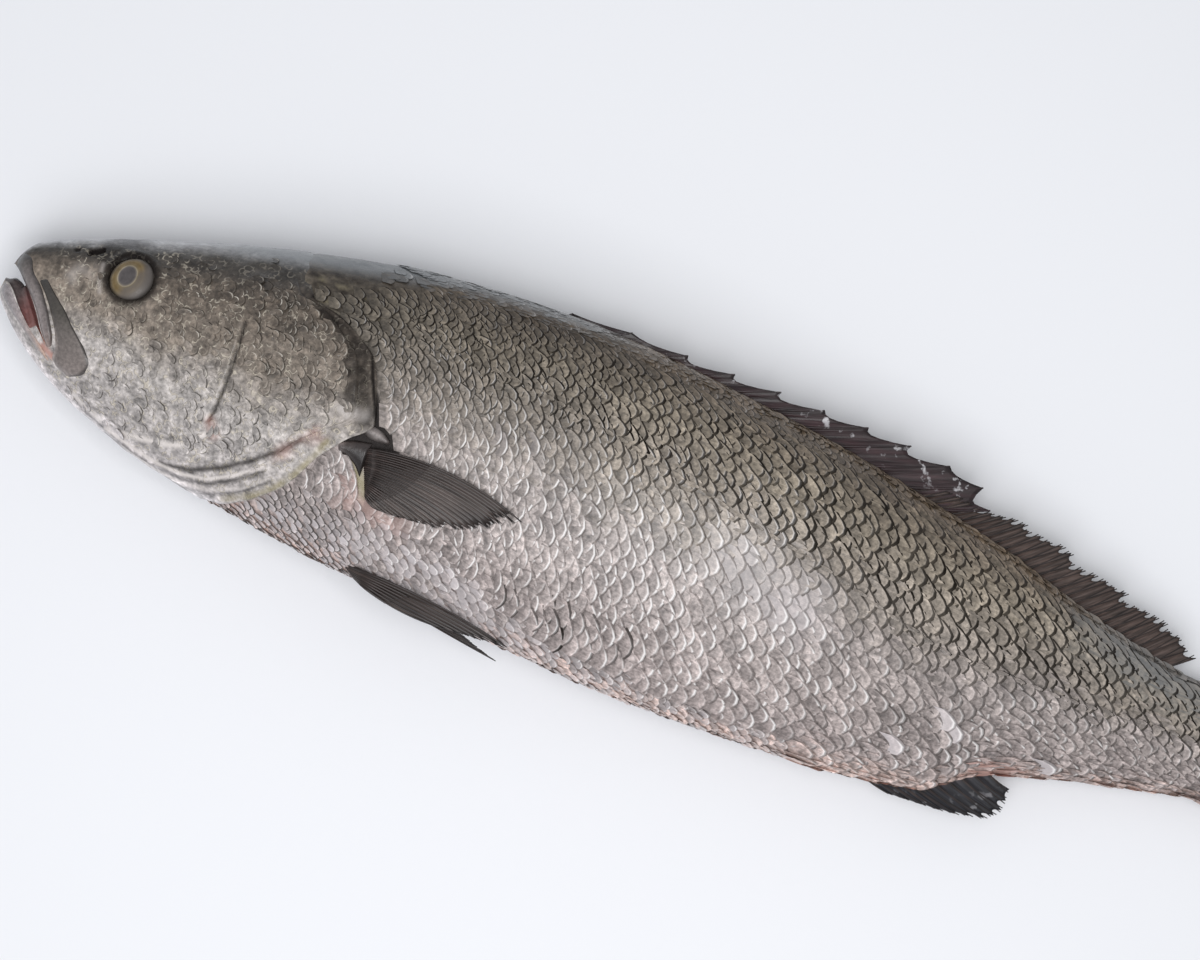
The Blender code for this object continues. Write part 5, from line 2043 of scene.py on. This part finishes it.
# %% [markdown]
# ## The paired fins
# The breast fin is laid back on the flank, a leaf of fine close rays with a ragged lower rim. The
# other one is pressed under the belly. The belly fins lie together along the keel as thin
# dark blades. A fin on the flank follows the skin, rooted in it and then just clear of it.

# %% Breast and belly fins
FIN_CLEARANCE = 2.5
FLANK_FIN_ROOT = 3.0
TIPS_S = ((0, 227), (0.15, 222), (0.3, 216), (0.5, 206), (0.7, 193), (0.85, 182), (1, 172))
TIPS_T = ((0, -20.5), (0.15, -23), (0.3, -26), (0.5, -31), (0.7, -35), (0.85, -36), (1, -36))
tips_s, tips_t = smooth_curve(TIPS_S), smooth_curve(TIPS_T)


def laid_on_flank(points, along):
    s = points[..., 0]
    t = np.maximum(points[..., 1], belly(s) + 5.0)
    rise = (FLANK_FIN_ROOT + FIN_CLEARANCE) * ease(along * 7)
    return on_flank(s, t)[..., 2] - FLANK_FIN_ROOT + rise


breast_fan = (
    lambda a: columns_of(153 + 11 * a, -17.5 - 14.5 * a, 0.0),
    lambda a: columns_of(tips_s(a), tips_t(a), 0.0),
    lambda a: columns_of(0 * a, 6.5 * (1 - a) - 1.5 * a, 0.0),
)
grow_fin(
    "breast_fin_left", breast_fan, 25, 8, (grey_skin, dark_ray), lie=laid_on_flank, notch=0.06,
    ragged=0.10, pleat=0.35, thick=(0.9, 0.3),
)
under_fan = (
    lambda a: columns_of(153 + 6 * a, -28 - 12 * a, 8.0),
    lambda a: columns_of(tips_s(a) - 2, tips_t(a) - 31, 1.6),
    lambda a: columns_of(0 * a, 2.0, -1.5),
)
grow_fin(
    "breast_fin_right", under_fan, 15, 9, (grey_skin, dark_ray), notch=0.06, ragged=0.05,
    pleat=0.4, thick=(1.1, 0.35),
)
leaf_fan = (
    lambda a: columns_of(165 + 6 * a, -61.5 - 3.5 * a, 0.0),
    lambda a: columns_of(239 - 31 * a, -68 - 2.5 * a, 0.0),
    lambda a: columns_of(0 * a, 2.6 - 4.6 * a, 0.0),
)
grow_fin(
    "belly_fin_left", leaf_fan, 8, 10, (grey_skin, dark_ray), lie=laid_on_flank, notch=0.05,
    ragged=0.03, pleat=0.4, thick=(1.3, 0.45),
)
blade_fan = (
    lambda a: columns_of(163 + 10 * a, -64.5 + 4 * a, 30.0),
    lambda a: columns_of(235 - 28 * a, -76.0 + 8.0 * a, 27.0),
    lambda a: columns_of(0 * a, -0.8, 0.0),
)
grow_fin(
    "belly_fin_right", blade_fan, 7, 11, (grey_skin, dark_ray), notch=0.05, ragged=0.03, pleat=0.4,
    thick=(1.3, 0.45),
)

# %% [markdown]
# ## The root of the breast fin
# A fleshy lobe carries the breast fin out of the black hollow behind the gill cover, with a
# painted pale sheen along its front. Above it sits a small fold of the shoulder. Both are crowned
# strips like the lips, laid on the flank.

# %% Breast fin root
LOBE_UPPER = ((147.5, -17.5), (151, -15.6), (155, -14.2), (160, -13.2))
LOBE_LOWER = ((148.5, -20.5), (152, -21.0), (156, -23.0), (160, -27.0))
KNOB_UPPER = ((155, -7.6), (158, -6.8), (162, -7.6), (166, -9.8))
KNOB_LOWER = ((155, -10.6), (158, -11.8), (162, -12.0), (166, -11.6))

# The lobe's tone across it is brightest near its front: a painted pale sheen.
lobe_finish = lip_material(
    "Fin root skin",
    ((0.0, "#6b6260"), (0.25, "#3b3432"), (0.6, "#292423"), (1.0, "#241f1e")),
    ((0.0, 1.2), (0.12, 2.0), (0.3, 1.6), (0.5, 0.9), (1.0, 0.75)),
)
knob_finish = lip_material(
    "Shoulder fold skin",
    ((0.0, "#4b4442"), (0.5, "#837b78"), (1.0, "#4b4442")),
    ((0.0, 0.5), (0.4, 1.2), (1.0, 0.4)),
)
knob = head_plate(
    "shoulder_fold_left", KNOB_UPPER, KNOB_LOWER, 1.5, UPPER_SIDE, knob_finish, fullness=2.2,
)
hand_over(knob)
lobe = head_plate(
    "breast_fin_root_left", LOBE_UPPER, LOBE_LOWER, 2.3, UPPER_SIDE, lobe_finish, fullness=2.4,
)
hand_over(lobe)

# %% [markdown]
# ## The lateral line
# A row of pored scales runs from the shoulder down to the middle of the tail. Each has a
# short tube that ends in a dark pore. The tubes are the scale tile again, made long and narrow.

# %% Lateral line
LINE_PATH = (
    (150, 33), (200, 30), (240, 25), (280, 18), (310, 12), (340, 7), (370, 0), (400, -5), (440, -5),
    (480, -2), (545, 0),
)
LINE_FROM, LINE_TO = 160.0, 538.0
TUBE_LENGTH = 0.62
TUBE_WIDTH = 1.5
TUBE_HEIGHT = 0.62

line_height = smooth_curve(LINE_PATH)
# The tubes' rims get painted glints, like the scales'.
tube_finish = scale_material(
    "Pored tubes", BACK_TO_KEEL, "#c9c1ba", "#14110f", (("rose", SCALE_ROSE),), hood=0.8,
)
for lower in (UPPER_SIDE, LOWER_SIDE):
    side = SIDE[lower]
    places = [LINE_FROM]
    while places[-1] < LINE_TO:
        places.append(places[-1] + float(scale_pitch(places[-1])))
    s = np.array(places)
    angle = angle_at(s, line_height(s))
    size = columns_of(TUBE_LENGTH * scale_pitch(s), TUBE_WIDTH, TUBE_HEIGHT)
    rear = ease((s - 360) / 30)
    numbers = {
        "girth": angle / 180, "ink": 0.4 + 0.6 * rear, "glint": 0.35 - 0.2 * rear, "rose": 0 * s,
    }
    tubes = grow_scales(
        f"lateral_line_{side}", skin_tree(trunk), s, angle, lower, numbers, size, tube_finish,
        tilt=5.0, unevenness=0.1, seed=61, above=1.5,
    )
    hand_over(tubes)

# %% [markdown]
# ## The tail fin
# The tail fin of a meagre is a broad fan with a nearly straight, slightly pointed rear
# edge. Its rays start on the last bone of the tail, fork in two and lie flat with the fish.

# %% Tail fin
TAIL_ROOT = STANDARD_LENGTH - 3
TAIL_END = STANDARD_LENGTH + TAIL_FIN_LENGTH


def tail_start(across):
    q = 2 * across - 1
    return columns_of(TAIL_ROOT + 0 * q, -1.5 + 16.5 * q, float(middle(TAIL_ROOT)))


def tail_end(across):
    q = 2 * across - 1
    return columns_of(TAIL_END - 9 * q * q + 3.0 * np.cos(3 * q), -1.5 + 45 * q, 6.5)


def tail_bow(across):
    return columns_of(0 * across, 5.0 * (2 * across - 1), 0.0)


grow_fin(
    "tail_fin", (tail_start, tail_end, tail_bow), 19, 12, (brown_skin, dark_ray), notch=0.03,
    ragged=0.02, pleat=0.6, thick=(1.7, 0.5),
)

# %% [markdown]
# ## Last step
# The two pattern tiles have done their work and go.

# %% Finish
for tile in tiles.values():
    bpy.data.objects.remove(tile)
